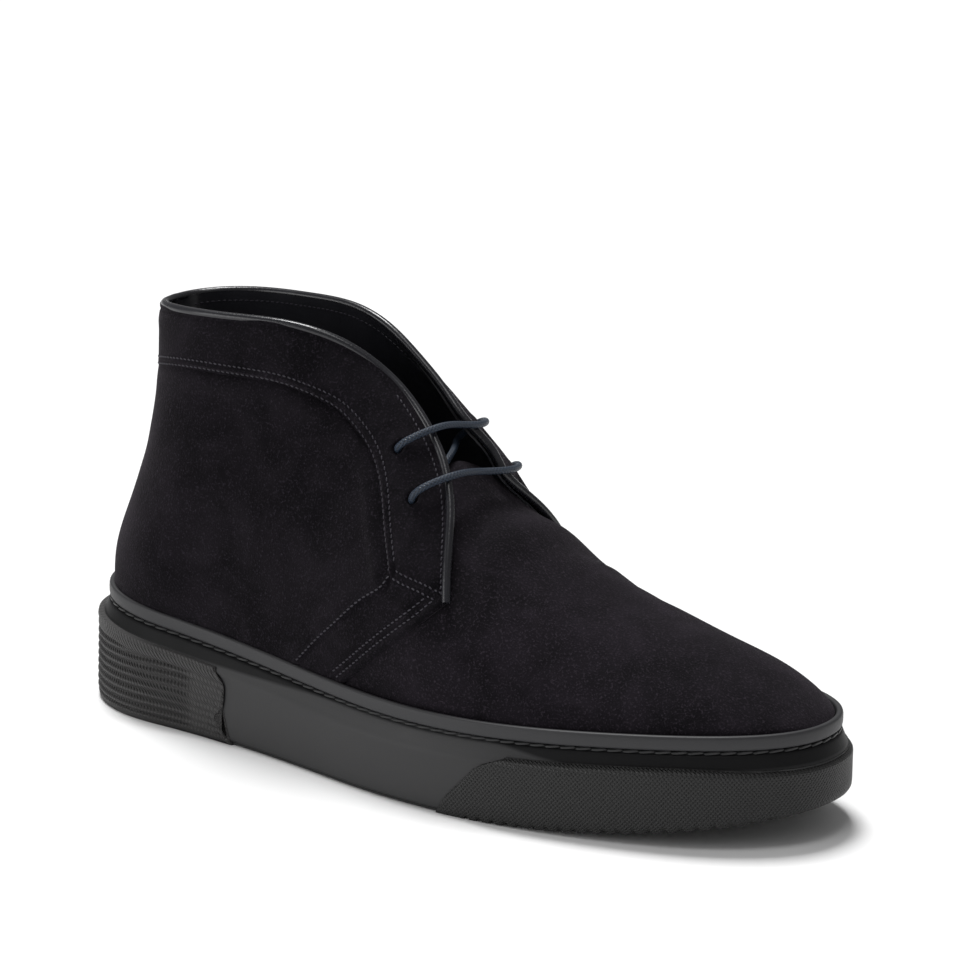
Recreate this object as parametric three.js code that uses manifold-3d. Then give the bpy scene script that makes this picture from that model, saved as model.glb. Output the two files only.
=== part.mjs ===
// A suede chukka boot for the right foot, on a rubber cup sole.
// Millimetres, +Z up, toe towards +X, inner (medial) side towards +Y.
// The model is laid out from the back of the sole (x = 0) to the toe, and is moved at
// the end so that its origin is the middle of its base.
import * as THREE from 'three';
import { mergeVertices } from 'three/addons/utils/BufferGeometryUtils.js';
import Module from 'manifold-3d';

const wasm = await Module();
wasm.setup();

// ---- Driving dimensions ------------------------------------------------------------

const SOLE_LENGTH = 304;
const HEEL_END = { depth: 46.5, power: 2.15 }; // rounding of the outline at the heel
const TOE_END = { depth: 89.5, power: 2.13 }; // rounding of the outline at the toe
const SPRING = { start: 185, lift: 13.2 }; // toe spring of the sole's underside
const GAP = 0.3; // between pieces that touch
const UPPER_INSET = 6.8; // from the sole's outline in to the upper
const WALL = 1.8; // suede and lining
const QUARTER = 1.2; // the quarters' second layer, on top of the wall
const CUP_DEPTH = 8; // the upper stands this deep inside the cup sole
const PLATE = 3; // tread plate
const WRAP = 3.2; // heel and toe wraps of the outsole, from the outline inwards
const BEAD = { outer: 4, inner: 6, height: 3.9 }; // rolled rand
const CUP_INSET = 5.9; // inner face of the cup's wall
const INSOLE = 4;
const PIPING_RADIUS = 1.6;
const LACE_RADIUS = 1.25;
const PIPING_PROUD = { collar: -0.3, facing: 1 }; // its centre, out from the wall's face
const EYELET_RADIUS = 2.4;

// Half breadth and centre line of the sole's outline.
const SOLE_PLAN = [
  { x: 0, half: 38.4, centre: 0 },
  { x: 50, half: 38.4, centre: 0 },
  { x: 110, half: 41.1, centre: -4.9 },
  { x: 150, half: 46.8, centre: -7.3 },
  { x: 200, half: 54.2, centre: -1.1 },
  { x: 235, half: 51.9, centre: 1.9 },
  { x: 304, half: 51.3, centre: 8.1 },
];

// The feather line, where the upper meets the sole.
const FEATHER = [
  { x: 0, z: 44.3 },
  { x: 60, z: 39.2 },
  { x: 130, z: 34 },
  { x: 200, z: 34.2 },
  { x: 250, z: 37.4 },
  { x: 280, z: 38.9 },
  { x: 304, z: 39.5 },
];

// The last's ridge from the virtual top of the ankle down the instep to the toe.
const RIDGE = [
  { x: 20, z: 230 },
  { x: 60, z: 215 },
  { x: 85, z: 195 },
  { x: 110, z: 163 },
  { x: 130, z: 141 },
  { x: 150, z: 124 },
  { x: 170, z: 107 },
  { x: 190, z: 89.4 },
  { x: 200, z: 81.4 },
  { x: 215, z: 73.4 },
  { x: 230, z: 67.8 },
  { x: 250, z: 62.2 },
  { x: 267, z: 57.2 },
  { x: 280, z: 51.4 },
  { x: 288, z: 46.9 },
  { x: 294, z: 42.4 },
  { x: 297.2, z: 39.3 },
];

// How full a cross-section is towards its ridge (2 is an ellipse), and how far the
// ridge lies to the inner side.
const CROWN = [
  { x: 100, power: 2.1, shift: 0 },
  { x: 170, power: 2.1, shift: 3 },
  { x: 200, power: 1.95, shift: 3 },
  { x: 240, power: 1.72, shift: 3 },
  { x: 300, power: 1.65, shift: 5 },
];

// The back seam, and how much the heel and ankle narrow with height.
const BACK = [
  { z: 30, x: 6.8, narrow: 1 },
  { z: 45, x: 7.1, narrow: 1.02 },
  { z: 55, x: 7.8, narrow: 1.03 },
  { z: 70, x: 11.2, narrow: 1 },
  { z: 85, x: 16.6, narrow: 0.96 },
  { z: 100, x: 21, narrow: 0.92 },
  { z: 118, x: 23.6, narrow: 0.89 },
  { z: 140, x: 24.6, narrow: 0.9 },
  { z: 165, x: 24.6, narrow: 0.91 },
];

// Top line and facing edge of the quarters, seen from the side, from the back seam
// round the collar and down to the corner of the facing.
const TOP_LINE = [
  { x: 24.6, z: 150.3 },
  { x: 31, z: 151.2 },
  { x: 45, z: 152.5 },
  { x: 70, z: 153.8 },
  { x: 92, z: 153.8 },
  { x: 105, z: 151.2 },
  { x: 123.3, z: 141.6 },
  { x: 140, z: 128.1 },
  { x: 156.1, z: 112.4 },
  { x: 167.6, z: 95.1 },
  { x: 172.7, z: 80.9 },
  { x: 175, z: 71.5 },
];

// The vamp's rear edge under the quarters, from the sole up into the throat.
const VAMP_EDGE = [
  { x: 114, z: 20 },
  { x: 121, z: 38 },
  { x: 134, z: 50 },
  { x: 147, z: 61 },
  { x: 162, z: 77 },
  { x: 160, z: 85 },
  { x: 157, z: 96 },
  { x: 161, z: 102 },
  { x: 170, z: 112 },
];

// Lower front edge of the quarters, from the corner of the facing to the sole.
const QUARTER_EDGE = [
  { x: 175, z: 71.5 },
  { x: 166.2, z: 63.5 },
  { x: 154.5, z: 54.2 },
  { x: 141.4, z: 42.6 },
  { x: 130.5, z: 32.8 },
];

const EYELETS = { upper: { x: 140.7, z: 116.4 }, lower: { x: 152.8, z: 101.7 } };

// Where the lace crosses the piping, how far it reaches inside, and its diagonal.
const LACE = {
  lowerCrossing: { x: 159.4, z: 107.2 },
  upperCrossing: { x: 147.8, z: 121.4 },
  clearance: PIPING_RADIUS + LACE_RADIUS + 0.45,
  inside: 5.4,
  outside: QUARTER + 1.6,
  lift: 0.4,
  diagonal: [{ part: 0.12, lift: 1.5 }, { part: 0.5, lift: 8.5 }, { part: 0.85, lift: 2.5 }],
};

// How far the vamp and tongue lie below the ridge, between the facings.
const THROAT_SINK = [
  { x: 140, drop: 15.6 },
  { x: 155, drop: 13.6 },
  { x: 162, drop: 12.6 },
  { x: 172, drop: 10.4 },
  { x: 182, drop: 5 },
  { x: 192, drop: 3.5 },
  { x: 202, drop: 0 },
];

// How far the inner quarter's own section is pulled down towards the throat.
const INNER_SINK = [
  { x: 120, drop: 0 },
  { x: 133, drop: 1 },
  { x: 142, drop: 2.8 },
  { x: 150, drop: 3.8 },
  { x: 157, drop: 4.9 },
  { x: 162, drop: 7.4 },
  { x: 168, drop: 9 },
  { x: 175, drop: 8 },
  { x: 185, drop: 3 },
  { x: 195, drop: 0 },
];

const THROAT_FULLNESS = 0.06; // how much fuller the section gets for each mm of drop
const THROAT_TURN = 0.1; // the inner facing lies further forward by this part of y

const TONGUE = { root: 176, tip: 153.5, half: 12.5, thickness: 2.4 };
const THROAT_CUT = { beyond: 14, lift: 12, depth: 24 }; // takes the vamp out between the facings

// Front edge of the heel wrap and rear edge of the toe bumper, seen from the side.
const HEEL_WRAP_TOP = -10.6; // from the feather line
const TOE_WRAP_TOP = { rear: -9.8, toe: -11.2, from: 262 };
const HEEL_WRAP_EDGE = [
  { x: 72.7, z: 26.4 },
  { x: 76.3, z: 23.9 },
  { x: 77.7, z: 20 },
  { x: 77.5, z: 16 },
  { x: 76.2, z: 12.2 },
  { x: 74.1, z: 9.5 },
  { x: 76, z: 6 },
  { x: 82.5, z: -1 },
];
const TOE_WRAP_EDGE = [
  { x: 178.6, z: -1 },
  { x: 180.2, z: 1.6 },
  { x: 184.6, z: 8.3 },
  { x: 192, z: 16.4 },
  { x: 199, z: 22 },
  { x: 206, z: 24.4 },
];
const TREAD = { first: 192, last: 292, pitch: 5, width: 1.6, depth: 1 };

const STATIONS = 27; // along the sole, on each side
const AROUND = 20; // along the upper, on each side
const LEVELS = 11; // from the feather line to above the collar
const LEVEL_PACE = 1.15; // the lower levels are closer together
const RIDGE_PACE = 1.3;
const PIPING_STEPS = 62;
const LACE_STEPS = 62;
const FORM_TOP = { x: 114, z: 165 };
const BEYOND = { heel: -20, toe: 330, floor: -5 }; // cuts in the side view reach this far

// ---- Curves ------------------------------------------------------------------------

// Natural cubic spline through rows of a table: column `to` as a function of `from`.
function spline(rows, from, to) {
  const xs = rows.map((row) => row[from]);
  const ys = rows.map((row) => row[to]);
  const last = xs.length - 1;
  const bend = new Array(xs.length).fill(0); // second derivatives
  const carry = new Array(xs.length).fill(0);
  for (let i = 1; i < last; i += 1) {
    const before = xs[i] - xs[i - 1];
    const after = xs[i + 1] - xs[i];
    const pivot = 2 * (before + after) - before * carry[i - 1];
    const turn = (ys[i + 1] - ys[i]) / after - (ys[i] - ys[i - 1]) / before;
    carry[i] = after / pivot;
    bend[i] = (6 * turn - before * bend[i - 1]) / pivot;
  }
  for (let i = last - 1; i > 0; i -= 1) bend[i] -= carry[i] * bend[i + 1];
  return (value) => {
    const x = THREE.MathUtils.clamp(value, xs[0], xs[last]);
    let i = 0;
    while (i < last - 1 && x > xs[i + 1]) i += 1;
    const width = xs[i + 1] - xs[i];
    const t = x - xs[i];
    const slope = (ys[i + 1] - ys[i]) / width - (width * (2 * bend[i] + bend[i + 1])) / 6;
    const cubic = (bend[i + 1] - bend[i]) / (6 * width);
    return ys[i] + slope * t + (bend[i] * t * t) / 2 + cubic * t * t * t;
  };
}

const planHalf = spline(SOLE_PLAN, 'x', 'half');
const planCentre = spline(SOLE_PLAN, 'x', 'centre');
const feather = spline(FEATHER, 'x', 'z');
const ridge = spline(RIDGE, 'x', 'z');
const crownPower = spline(CROWN, 'x', 'power');
const crownShift = spline(CROWN, 'x', 'shift');
const backSeam = spline(BACK, 'z', 'x');
const narrowing = spline(BACK, 'z', 'narrow');
const throatSink = spline(THROAT_SINK, 'x', 'drop');
const innerSink = spline(INNER_SINK, 'x', 'drop');

const unit = (value) => THREE.MathUtils.clamp(value, 0, 1);
const ease = (value) => unit(value) ** 2 * (3 - 2 * unit(value));
const cosine = (part) => (1 - Math.cos(Math.PI * part)) / 2;

// A superellipse end: 0 at the very end of the outline, 1 from `depth` onwards.
function rounding(distance, depth, power) {
  return (1 - (1 - unit(distance / depth)) ** power) ** (1 / power);
}

// Half breadth of the sole's outline, moved inwards by an inset.
function outlineHalf(x, inset) {
  const heel = rounding(x - inset, HEEL_END.depth - inset, HEEL_END.power);
  const toe = rounding(SOLE_LENGTH - inset - x, TOE_END.depth - inset, TOE_END.power);
  return (planHalf(x) - inset) * heel * toe;
}

// Height of the sole's underside.
function underside(x) {
  const along = Math.max(0, x - SPRING.start) / (SOLE_LENGTH - SPRING.start);
  return SPRING.lift * along * along;
}

// Half breadth of the upper at a place (x, z) of its side view. `sink` lowers the ridge.
function upperHalf(x, z, sink) {
  const low = feather(x);
  const high = ridge(x) - sink;
  const power = crownPower(x) + THROAT_FULLNESS * sink;
  const crown = Math.sqrt(1 - unit((z - low) / (high - low)) ** power);
  const toe = rounding(SOLE_LENGTH - UPPER_INSET - x, TOE_END.depth - UPPER_INSET, TOE_END.power);
  const heel = rounding(x - backSeam(z), HEEL_END.depth - UPPER_INSET, HEEL_END.power);
  const rear = 1 - ease((x - 80) / 80);
  const waist = 1 - rear * (1 - narrowing(z));
  return (planHalf(x) - UPPER_INSET) * crown * toe * heel * waist;
}

// A point of the upper: its side-view place, taken out to one side (-1 outer, 1 inner).
// The throat is turned a little, so that the inner facing lies further forward.
function upperPoint(x, z, side, sink = side > 0 ? innerSink(x) : 0) {
  const half = upperHalf(x, z, sink);
  const low = ease((145 - z) / 90);
  const centre = planCentre(x) * low + crownShift(x) * (1 - low);
  const turn = THROAT_TURN * ease((x - 105) / 45) * ease((z - 55) / 40);
  return new THREE.Vector3(x + turn * side * half, centre + side * half, z);
}

// The side view as a patch: `along` runs from the back seam (0) to the ridge (1), and
// `up` from the feather line (0) to a virtual top above the collar (1).
function sidePlace(along, up, sunk) {
  const s = cosine(along);
  const drop = (x) => (sunk ? throatSink(x) : 0);
  const heelX = UPPER_INSET;
  const toeX = SOLE_LENGTH - UPPER_INSET;
  const backZ = (v) => feather(heelX) + (FORM_TOP.z - feather(heelX)) * v;
  const ridgeX = (v) => toeX - (toeX - FORM_TOP.x) * v ** RIDGE_PACE;
  const ridgeZ = (v) => ridge(ridgeX(v)) - drop(ridgeX(v));
  const bottom = heelX + (toeX - heelX) * s;
  const topX = backSeam(FORM_TOP.z) + (FORM_TOP.x - backSeam(FORM_TOP.z)) * s;
  const topZ = FORM_TOP.z + (ridgeZ(1) - FORM_TOP.z) * s;
  const mix = (low, high, left, right, a, b, c, d) =>
    low * (1 - up) + high * up + left * (1 - s) + right * s -
    ((a * (1 - s) + b * s) * (1 - up) + (c * (1 - s) + d * s) * up);
  const x = mix(bottom, topX, backSeam(backZ(up)), ridgeX(up),
    heelX, toeX, backSeam(FORM_TOP.z), FORM_TOP.x);
  const z = mix(feather(bottom), topZ, backZ(up), ridgeZ(up),
    feather(heelX), feather(toeX), FORM_TOP.z, ridgeZ(1));
  return { x, z: Math.min(z, ridge(x) - drop(x)) };
}

// ---- Solids ------------------------------------------------------------------------

function toSolid(geometry) {
  const bare = geometry.clone();
  bare.deleteAttribute('normal');
  bare.deleteAttribute('uv');
  const merged = mergeVertices(bare, 1e-4);
  const mesh = new wasm.Mesh({
    numProp: 3,
    vertProperties: new Float32Array(merged.attributes.position.array),
    triVerts: new Uint32Array(merged.index.array),
  });
  return new wasm.Manifold(mesh);
}

function toGeometry(solid) {
  const mesh = solid.getMesh();
  const geometry = new THREE.BufferGeometry();
  geometry.setAttribute('position', new THREE.BufferAttribute(mesh.vertProperties, 3));
  geometry.setIndex(new THREE.BufferAttribute(mesh.triVerts, 1));
  return geometry;
}

function solidFrom(position, index) {
  const geometry = new THREE.BufferGeometry();
  geometry.setAttribute('position', new THREE.Float32BufferAttribute(position, 3));
  geometry.setIndex(index);
  return toSolid(geometry);
}

// Two triangles of a four-sided face, without those that have no area.
function addQuad(index, a, b, c, d) {
  if (a !== b && b !== c && a !== c) index.push(a, b, c);
  if (a !== c && c !== d && a !== d) index.push(a, c, d);
}

// A solid from closed loops of equal length, lowest first. Point k of a loop faces
// point n - k across the boot, so both ends are closed by straight strips.
function stack(loops) {
  const n = loops[0].length;
  const position = loops.flatMap((loop) => loop.flatMap((p) => [p.x, p.y, p.z]));
  const index = [];
  for (let j = 0; j + 1 < loops.length; j += 1) {
    for (let k = 0; k < n; k += 1) {
      const next = (k + 1) % n;
      addQuad(index, j * n + k, j * n + next, (j + 1) * n + next, (j + 1) * n + k);
    }
  }
  const top = (loops.length - 1) * n;
  for (let k = 0; k < n / 2; k += 1) {
    const across = (n - k) % n;
    addQuad(index, top + k, top + k + 1, top + n - k - 1, top + across);
    addQuad(index, across, n - k - 1, k + 1, k);
  }
  return solidFrom(position, index);
}

// The main body of a solid, without the crumbs that a cut can leave.
function largest(solid) {
  return solid.decompose().reduce((a, b) => (a.volume() > b.volume() ? a : b));
}

// One loop of the sole: its outline moved inwards, at a height that depends on x.
function soleLoop(inset, height) {
  const loop = [];
  for (let k = 0; k < 2 * STATIONS; k += 1) {
    const side = k < STATIONS ? -1 : 1;
    const part = k < STATIONS ? k / STATIONS : 2 - k / STATIONS;
    const x = inset + (SOLE_LENGTH - 2 * inset) * cosine(part);
    const y = planCentre(x) + side * outlineHalf(x, inset);
    loop.push(new THREE.Vector3(x, y, height(x)));
  }
  return loop;
}

const soleStack = (rows) => stack(rows.map(({ inset, height }) => soleLoop(inset, height)));

// A ring round the sole with a closed section of (inset, height) rows.
function soleRing(rows) {
  const loops = rows.map(({ inset, height }) => soleLoop(inset, height));
  const n = loops[0].length;
  const position = loops.flatMap((loop) => loop.flatMap((p) => [p.x, p.y, p.z]));
  const index = [];
  for (let j = 0; j < loops.length; j += 1) {
    const above = (j + 1) % loops.length;
    for (let k = 0; k < n; k += 1) {
      const next = (k + 1) % n;
      addQuad(index, j * n + k, j * n + next, above * n + next, above * n + k);
    }
  }
  return solidFrom(position, index);
}

// One loop of the upper at a level, moved outwards along the surface normal.
function upperLoop(level, offset, sunk) {
  const at = (turn, up) => {
    const part = ((turn % 1) + 1) % 1;
    const side = part < 0.5 ? -1 : 1;
    const { x, z } = sidePlace(part < 0.5 ? 2 * part : 2 - 2 * part, up, sunk);
    return upperPoint(x, z, side, sunk ? throatSink(x) : undefined);
  };
  const loop = [];
  const step = 0.25 / AROUND;
  for (let k = 0; k < 2 * AROUND; k += 1) {
    const turn = k / (2 * AROUND);
    const around = at(turn + step, level).sub(at(turn - step, level));
    const below = Math.max(0, level - 0.01);
    const rise = at(turn, below + 0.02).sub(at(turn, below));
    const normal = around.cross(rise).normalize();
    if (level === 0) normal.setZ(0).normalize();
    loop.push(at(turn, level).addScaledVector(normal, offset));
  }
  return loop;
}

const lowered = (loop, distance) => loop.map((p) => new THREE.Vector3(p.x, p.y, p.z - distance));

// The last's form, larger or smaller by an offset, reaching `lower` below the feather line
// and `higher` above its own top.
function upperForm(offset, lower, higher, sunk) {
  const loops = [];
  for (let j = 0; j <= LEVELS; j += 1) {
    loops.push(upperLoop((j / LEVELS) ** LEVEL_PACE, offset, sunk));
  }
  loops.unshift(lowered(loops[0], lower));
  loops.push(lowered(loops[LEVELS + 1], -higher));
  return stack(loops);
}

// A side-view outline carried out to both sides of the boot.
function sidePrism(places) {
  const solids = [-1, 1].map((side) => {
    const corners = places.map(({ x, z }) => new THREE.Vector2(upperPoint(x, z, side).x, z));
    const shape = new THREE.Shape(corners);
    const prism = new THREE.ExtrudeGeometry(shape, { depth: 100, bevelEnabled: false });
    return toSolid(prism.rotateX(Math.PI / 2).translate(0, side < 0 ? 0.02 : 99.98, 0));
  });
  return solids[0].add(solids[1]);
}

// A smooth side-view line through the rows of a table.
function sideLine(rows, pieces) {
  const curve = new THREE.CatmullRomCurve3(rows.map(({ x, z }) => new THREE.Vector3(x, 0, z)));
  return curve.getSpacedPoints(pieces).map((p) => ({ x: p.x, z: p.z }));
}

function circle(radius, sides) {
  const shape = new THREE.Shape();
  for (let k = 0; k < sides; k += 1) {
    const angle = (2 * Math.PI * k) / sides;
    shape[k ? 'lineTo' : 'moveTo'](radius * Math.cos(angle), radius * Math.sin(angle));
  }
  shape.closePath();
  return shape;
}

function tube(points, radius, sides, steps) {
  const path = new THREE.CatmullRomCurve3(points);
  return toSolid(new THREE.ExtrudeGeometry(circle(radius, sides), {
    extrudePath: path, steps, curveSegments: 1, bevelEnabled: false,
  }));
}

// A point on the upper, moved outwards along its normal.
function onUpper(x, z, side, offset) {
  const e = 0.2;
  const forward = upperPoint(x + e, z, side).sub(upperPoint(x - e, z, side));
  const rise = upperPoint(x, z + e, side).sub(upperPoint(x, z - e, side));
  const normal = forward.cross(rise).normalize();
  if (normal.y * side < 0) normal.negate();
  return { point: upperPoint(x, z, side).addScaledVector(normal, offset), normal };
}

// ---- Sole --------------------------------------------------------------------------

const fromUnderside = (distance) => (x) => underside(x) + distance;
const fromFeather = (distance) => (x) => feather(x) + distance;

const toeWrapTop = (x) => feather(x) + TOE_WRAP_TOP.rear +
  (TOE_WRAP_TOP.toe - TOE_WRAP_TOP.rear) *
  ease((x - TOE_WRAP_TOP.from) / (SOLE_LENGTH - TOE_WRAP_TOP.from));

const heelWrapSide = [
  { x: BEYOND.heel, z: BEYOND.floor },
  ...[BEYOND.heel, 0, 20, 40, 60].map((x) => ({ x, z: feather(x) + HEEL_WRAP_TOP })),
  ...sideLine(HEEL_WRAP_EDGE, 16),
  { x: HEEL_WRAP_EDGE[HEEL_WRAP_EDGE.length - 1].x, z: BEYOND.floor },
];
const toeWrapSide = [
  { x: TOE_WRAP_EDGE[0].x, z: BEYOND.floor },
  ...sideLine(TOE_WRAP_EDGE, 14),
  ...[222, 245, 262, 273, 283, 294, 304, BEYOND.toe].map((x) => ({ x, z: toeWrapTop(x) })),
  { x: BEYOND.toe, z: BEYOND.floor },
];

// A side-view outline grown by a distance, corner by corner.
function grown(places, distance) {
  const n = places.length;
  return places.map((place, i) => {
    const before = places[(i + n - 1) % n];
    const after = places[(i + 1) % n];
    const dx = after.x - before.x;
    const dz = after.z - before.z;
    const length = Math.hypot(dx, dz);
    return { x: place.x - (distance * dz) / length, z: place.z + (distance * dx) / length };
  });
}

function makeOutsole() {
  const plate = soleStack([
    { inset: 2.2, height: fromUnderside(0) },
    { inset: 1.3, height: fromUnderside(0.8) },
    { inset: 1.3, height: fromUnderside(PLATE) },
  ]);
  const wrapOuter = soleStack([
    { inset: 1, height: fromUnderside(0) },
    { inset: 0.2, height: fromUnderside(2.5) },
    { inset: 0, height: fromUnderside(8) },
    { inset: 0.3, height: fromFeather(-12) },
    { inset: 0.8, height: fromFeather(-6) },
  ]);
  const core = soleStack([
    { inset: WRAP, height: fromUnderside(PLATE - 0.2) },
    { inset: WRAP, height: fromFeather(-3) },
  ]);
  const wraps = sidePrism(heelWrapSide).add(sidePrism(toeWrapSide));
  let outsole = wrapOuter.intersect(wraps).subtract(core).add(plate);
  for (let x = TREAD.first; x <= TREAD.last; x += TREAD.pitch) {
    const groove = new THREE.BoxGeometry(TREAD.width, 160, 2 * TREAD.depth);
    outsole = outsole.subtract(toSolid(groove.translate(x, 0, underside(x))));
  }
  return outsole;
}

function makeMidsole() {
  const body = soleStack([
    { inset: 1.6, height: fromUnderside(PLATE + GAP) },
    { inset: 1.2, height: fromUnderside(9) },
    { inset: 1.6, height: fromFeather(-11) },
    { inset: 2.6, height: fromFeather(-7.6) },
    { inset: 4.6, height: fromFeather(-5.2) },
    { inset: 4.6, height: fromFeather(-BEAD.height - GAP) },
  ]);
  const cup = soleStack([
    { inset: CUP_INSET, height: fromFeather(-CUP_DEPTH - GAP) },
    { inset: CUP_INSET, height: fromFeather(4) },
  ]);
  const kept = soleStack([
    { inset: WRAP + GAP, height: fromUnderside(-4) },
    { inset: WRAP + GAP, height: fromFeather(4) },
  ]);
  const wrapSpace = sidePrism(grown(heelWrapSide, GAP)).add(sidePrism(grown(toeWrapSide, GAP)));
  return body.subtract(cup).subtract(wrapSpace.subtract(kept));
}

function makeRand() {
  const middle = (BEAD.outer + BEAD.inner) / 2;
  const half = (BEAD.inner - BEAD.outer) / 2;
  const rows = [];
  for (let k = 0; k < 8; k += 1) {
    const angle = (Math.PI * (k + 0.5)) / 4 - Math.PI / 2;
    const across = Math.sign(Math.cos(angle)) * Math.abs(Math.cos(angle)) ** 0.6;
    const high = Math.sign(Math.sin(angle)) * Math.abs(Math.sin(angle)) ** 0.6;
    rows.push({
      inset: middle - half * across,
      height: fromFeather(-BEAD.height / 2 + (BEAD.height / 2) * high),
    });
  }
  return soleRing(rows);
}

function makeInsole() {
  const inset = UPPER_INSET + WALL + 3 * GAP;
  return soleStack([
    { inset, height: fromFeather(GAP - CUP_DEPTH) },
    { inset, height: fromFeather(GAP + INSOLE - 1 - CUP_DEPTH) },
    { inset: inset + 0.8, height: fromFeather(GAP + INSOLE - CUP_DEPTH) },
  ]);
}

// ---- Upper -------------------------------------------------------------------------

const topLine = sideLine(TOP_LINE, 34);
const quarterEdge = sideLine(QUARTER_EDGE, 10);

// The piping's centre line, from the outer facing round the collar to the inner one.
function pipingPath() {
  const stations = sideLine(TOP_LINE, 30).slice(1);
  const proud = ({ x }) => PIPING_PROUD.collar +
    (PIPING_PROUD.facing - PIPING_PROUD.collar) * ease((x - 120) / 35);
  const run = (side) => stations.map((s) => onUpper(s.x, s.z, side, proud(s)).point);
  const back = new THREE.Vector3(TOP_LINE[0].x - PIPING_PROUD.collar, 0, TOP_LINE[0].z);
  return [...run(-1).reverse(), back, ...run(1)];
}

// A short bar along the upper's normal, for the holes.
function punch(place, side) {
  const { point, normal } = onUpper(place.x, place.z, side, 0);
  const bar = new THREE.CylinderGeometry(EYELET_RADIUS, EYELET_RADIUS, 12, 12);
  bar.applyQuaternion(new THREE.Quaternion().setFromUnitVectors(THREE.Object3D.DEFAULT_UP, normal));
  return toSolid(bar.translate(point.x, point.y, point.z));
}

function makeUpper() {
  const below = CUP_DEPTH - GAP;
  const quarterSide = sidePrism([
    { x: BEYOND.heel, z: TOP_LINE[0].z },
    ...topLine,
    ...quarterEdge.slice(1),
    { x: QUARTER_EDGE[QUARTER_EDGE.length - 1].x, z: BEYOND.floor },
    { x: BEYOND.heel, z: BEYOND.floor },
  ]);
  const ground = soleStack([
    { inset: -10, height: fromFeather(-30) },
    { inset: -10, height: fromFeather(GAP) },
  ]);
  const quarters = upperForm(QUARTER, 0, 0, false)
    .subtract(ground)
    .add(upperForm(0, below, 0, false))
    .subtract(upperForm(-WALL, 20, 6, false))
    .intersect(quarterSide);
  const vamp = upperForm(0, below, 0, true)
    .subtract(upperForm(-WALL, 20, 6, true))
    .intersect(sidePrism([
      ...VAMP_EDGE,
      { x: BEYOND.toe, z: VAMP_EDGE[VAMP_EDGE.length - 1].z },
      { x: BEYOND.toe, z: VAMP_EDGE[0].z },
    ].reverse()));
  const throat = throatStrip(TONGUE.tip - THROAT_CUT.beyond, TONGUE.root,
    TONGUE.half + 3 * GAP, THROAT_CUT.lift, THROAT_CUT.depth, false);
  const tongueSpace = throatStrip(TONGUE.tip - 2 * GAP, TONGUE.root, TONGUE.half + 2 * GAP,
    GAP, TONGUE.thickness + 2 * GAP, false);
  const groove = tube(pipingPath(), PIPING_RADIUS + GAP, 8, PIPING_STEPS);
  let upper = vamp.subtract(throat).add(quarters.subtract(tongueSpace)).subtract(groove);
  for (const place of Object.values(EYELETS)) {
    upper = upper.subtract(punch(place, -1)).subtract(punch(place, 1));
  }
  return largest(upper);
}

// Middle of the throat, between the facings.
function throatCentre(x) {
  const z = ridge(x) - throatSink(x);
  const low = ease((145 - z) / 90);
  return planCentre(x) * low + crownShift(x) * (1 - low);
}

// Height of the vamp and tongue at a distance from the throat's centre line.
function throatHeight(x, across) {
  const sink = throatSink(x);
  const power = crownPower(x) + THROAT_FULLNESS * sink;
  const part = 1 - (across / (planHalf(x) - UPPER_INSET)) ** 2;
  return feather(x) + (ridge(x) - sink - feather(x)) * part ** (1 / power);
}

// A strip of the throat's own surface, raised by `lift` and `thick` in all. Its
// sections run across the boot, from the tip at x = `from` to the root at x = `to`.
function throatStrip(from, to, half, lift, thick, rounded) {
  const rows = 12;
  const columns = 10;
  const sections = [];
  for (let j = 0; j <= rows; j += 1) {
    const x = from + (to - from) * (j / rows) ** 1.4;
    const reach = rounded ? half * Math.max(0.3, rounding(x - from, 9, 2)) : half;
    const place = (part, layer) => {
      const across = reach * part;
      const z = throatHeight(x, across) + lift - layer * thick;
      return new THREE.Vector3(x + THROAT_TURN * across, throatCentre(x) + across, z);
    };
    const bottom = [];
    const top = [];
    for (let i = 1; i < columns; i += 1) {
      bottom.push(place((2 * i) / columns - 1, 1));
      top.unshift(place((2 * i) / columns - 1, 0));
    }
    sections.push([place(-1, 0.5), ...bottom, place(1, 0.5), ...top]);
  }
  return stack(sections);
}

function makeTongue() {
  return throatStrip(TONGUE.tip, TONGUE.root - GAP, TONGUE.half, 0, TONGUE.thickness, true);
}

function makePiping() {
  return tube(pipingPath(), PIPING_RADIUS, 8, PIPING_STEPS);
}

// ---- Lace --------------------------------------------------------------------------

// One lace: a bar over the lower eyelets, a diagonal under the facings, and a bar over
// the upper eyelets. Its two ends stop inside the last eyelets.
function makeLace() {
  const through = (place, side, offset) => onUpper(place.x, place.z, side, offset).point;
  const over = (place, side) => through(place, side, PIPING_PROUD.facing + LACE.clearance);
  const bar = (eyelet, crossing, from) => {
    const middle = over(crossing, -1).lerp(over(crossing, 1), 0.5);
    return [
      through(eyelet, from, -LACE.inside),
      through(eyelet, from, LACE.outside),
      over(crossing, from),
      middle.setZ(middle.z + LACE.lift),
      over(crossing, -from),
      through(eyelet, -from, LACE.outside),
      through(eyelet, -from, -LACE.inside),
    ];
  };
  const lower = bar(EYELETS.lower, LACE.lowerCrossing, 1);
  const upper = bar(EYELETS.upper, LACE.upperCrossing, 1);
  const start = lower[lower.length - 1];
  const end = upper[0];
  const diagonal = LACE.diagonal.map(({ part, lift }) =>
    start.clone().lerp(end, part).add(new THREE.Vector3(0.6 * lift, 0, 0.8 * lift)));
  return tube([...lower, ...diagonal, ...upper], LACE_RADIUS, 8, LACE_STEPS);
}

// ---- Assembly ----------------------------------------------------------------------

const RUBBER = { color: 0x2b2b2c, roughness: 0.6, metalness: 0 };
const SUEDE = { color: 0x15131a, roughness: 0.95, metalness: 0 };
const LEATHER = { color: 0x111217, roughness: 0.35, metalness: 0 };
const CORD = { color: 0x1b2230, roughness: 0.5, metalness: 0 };

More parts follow.
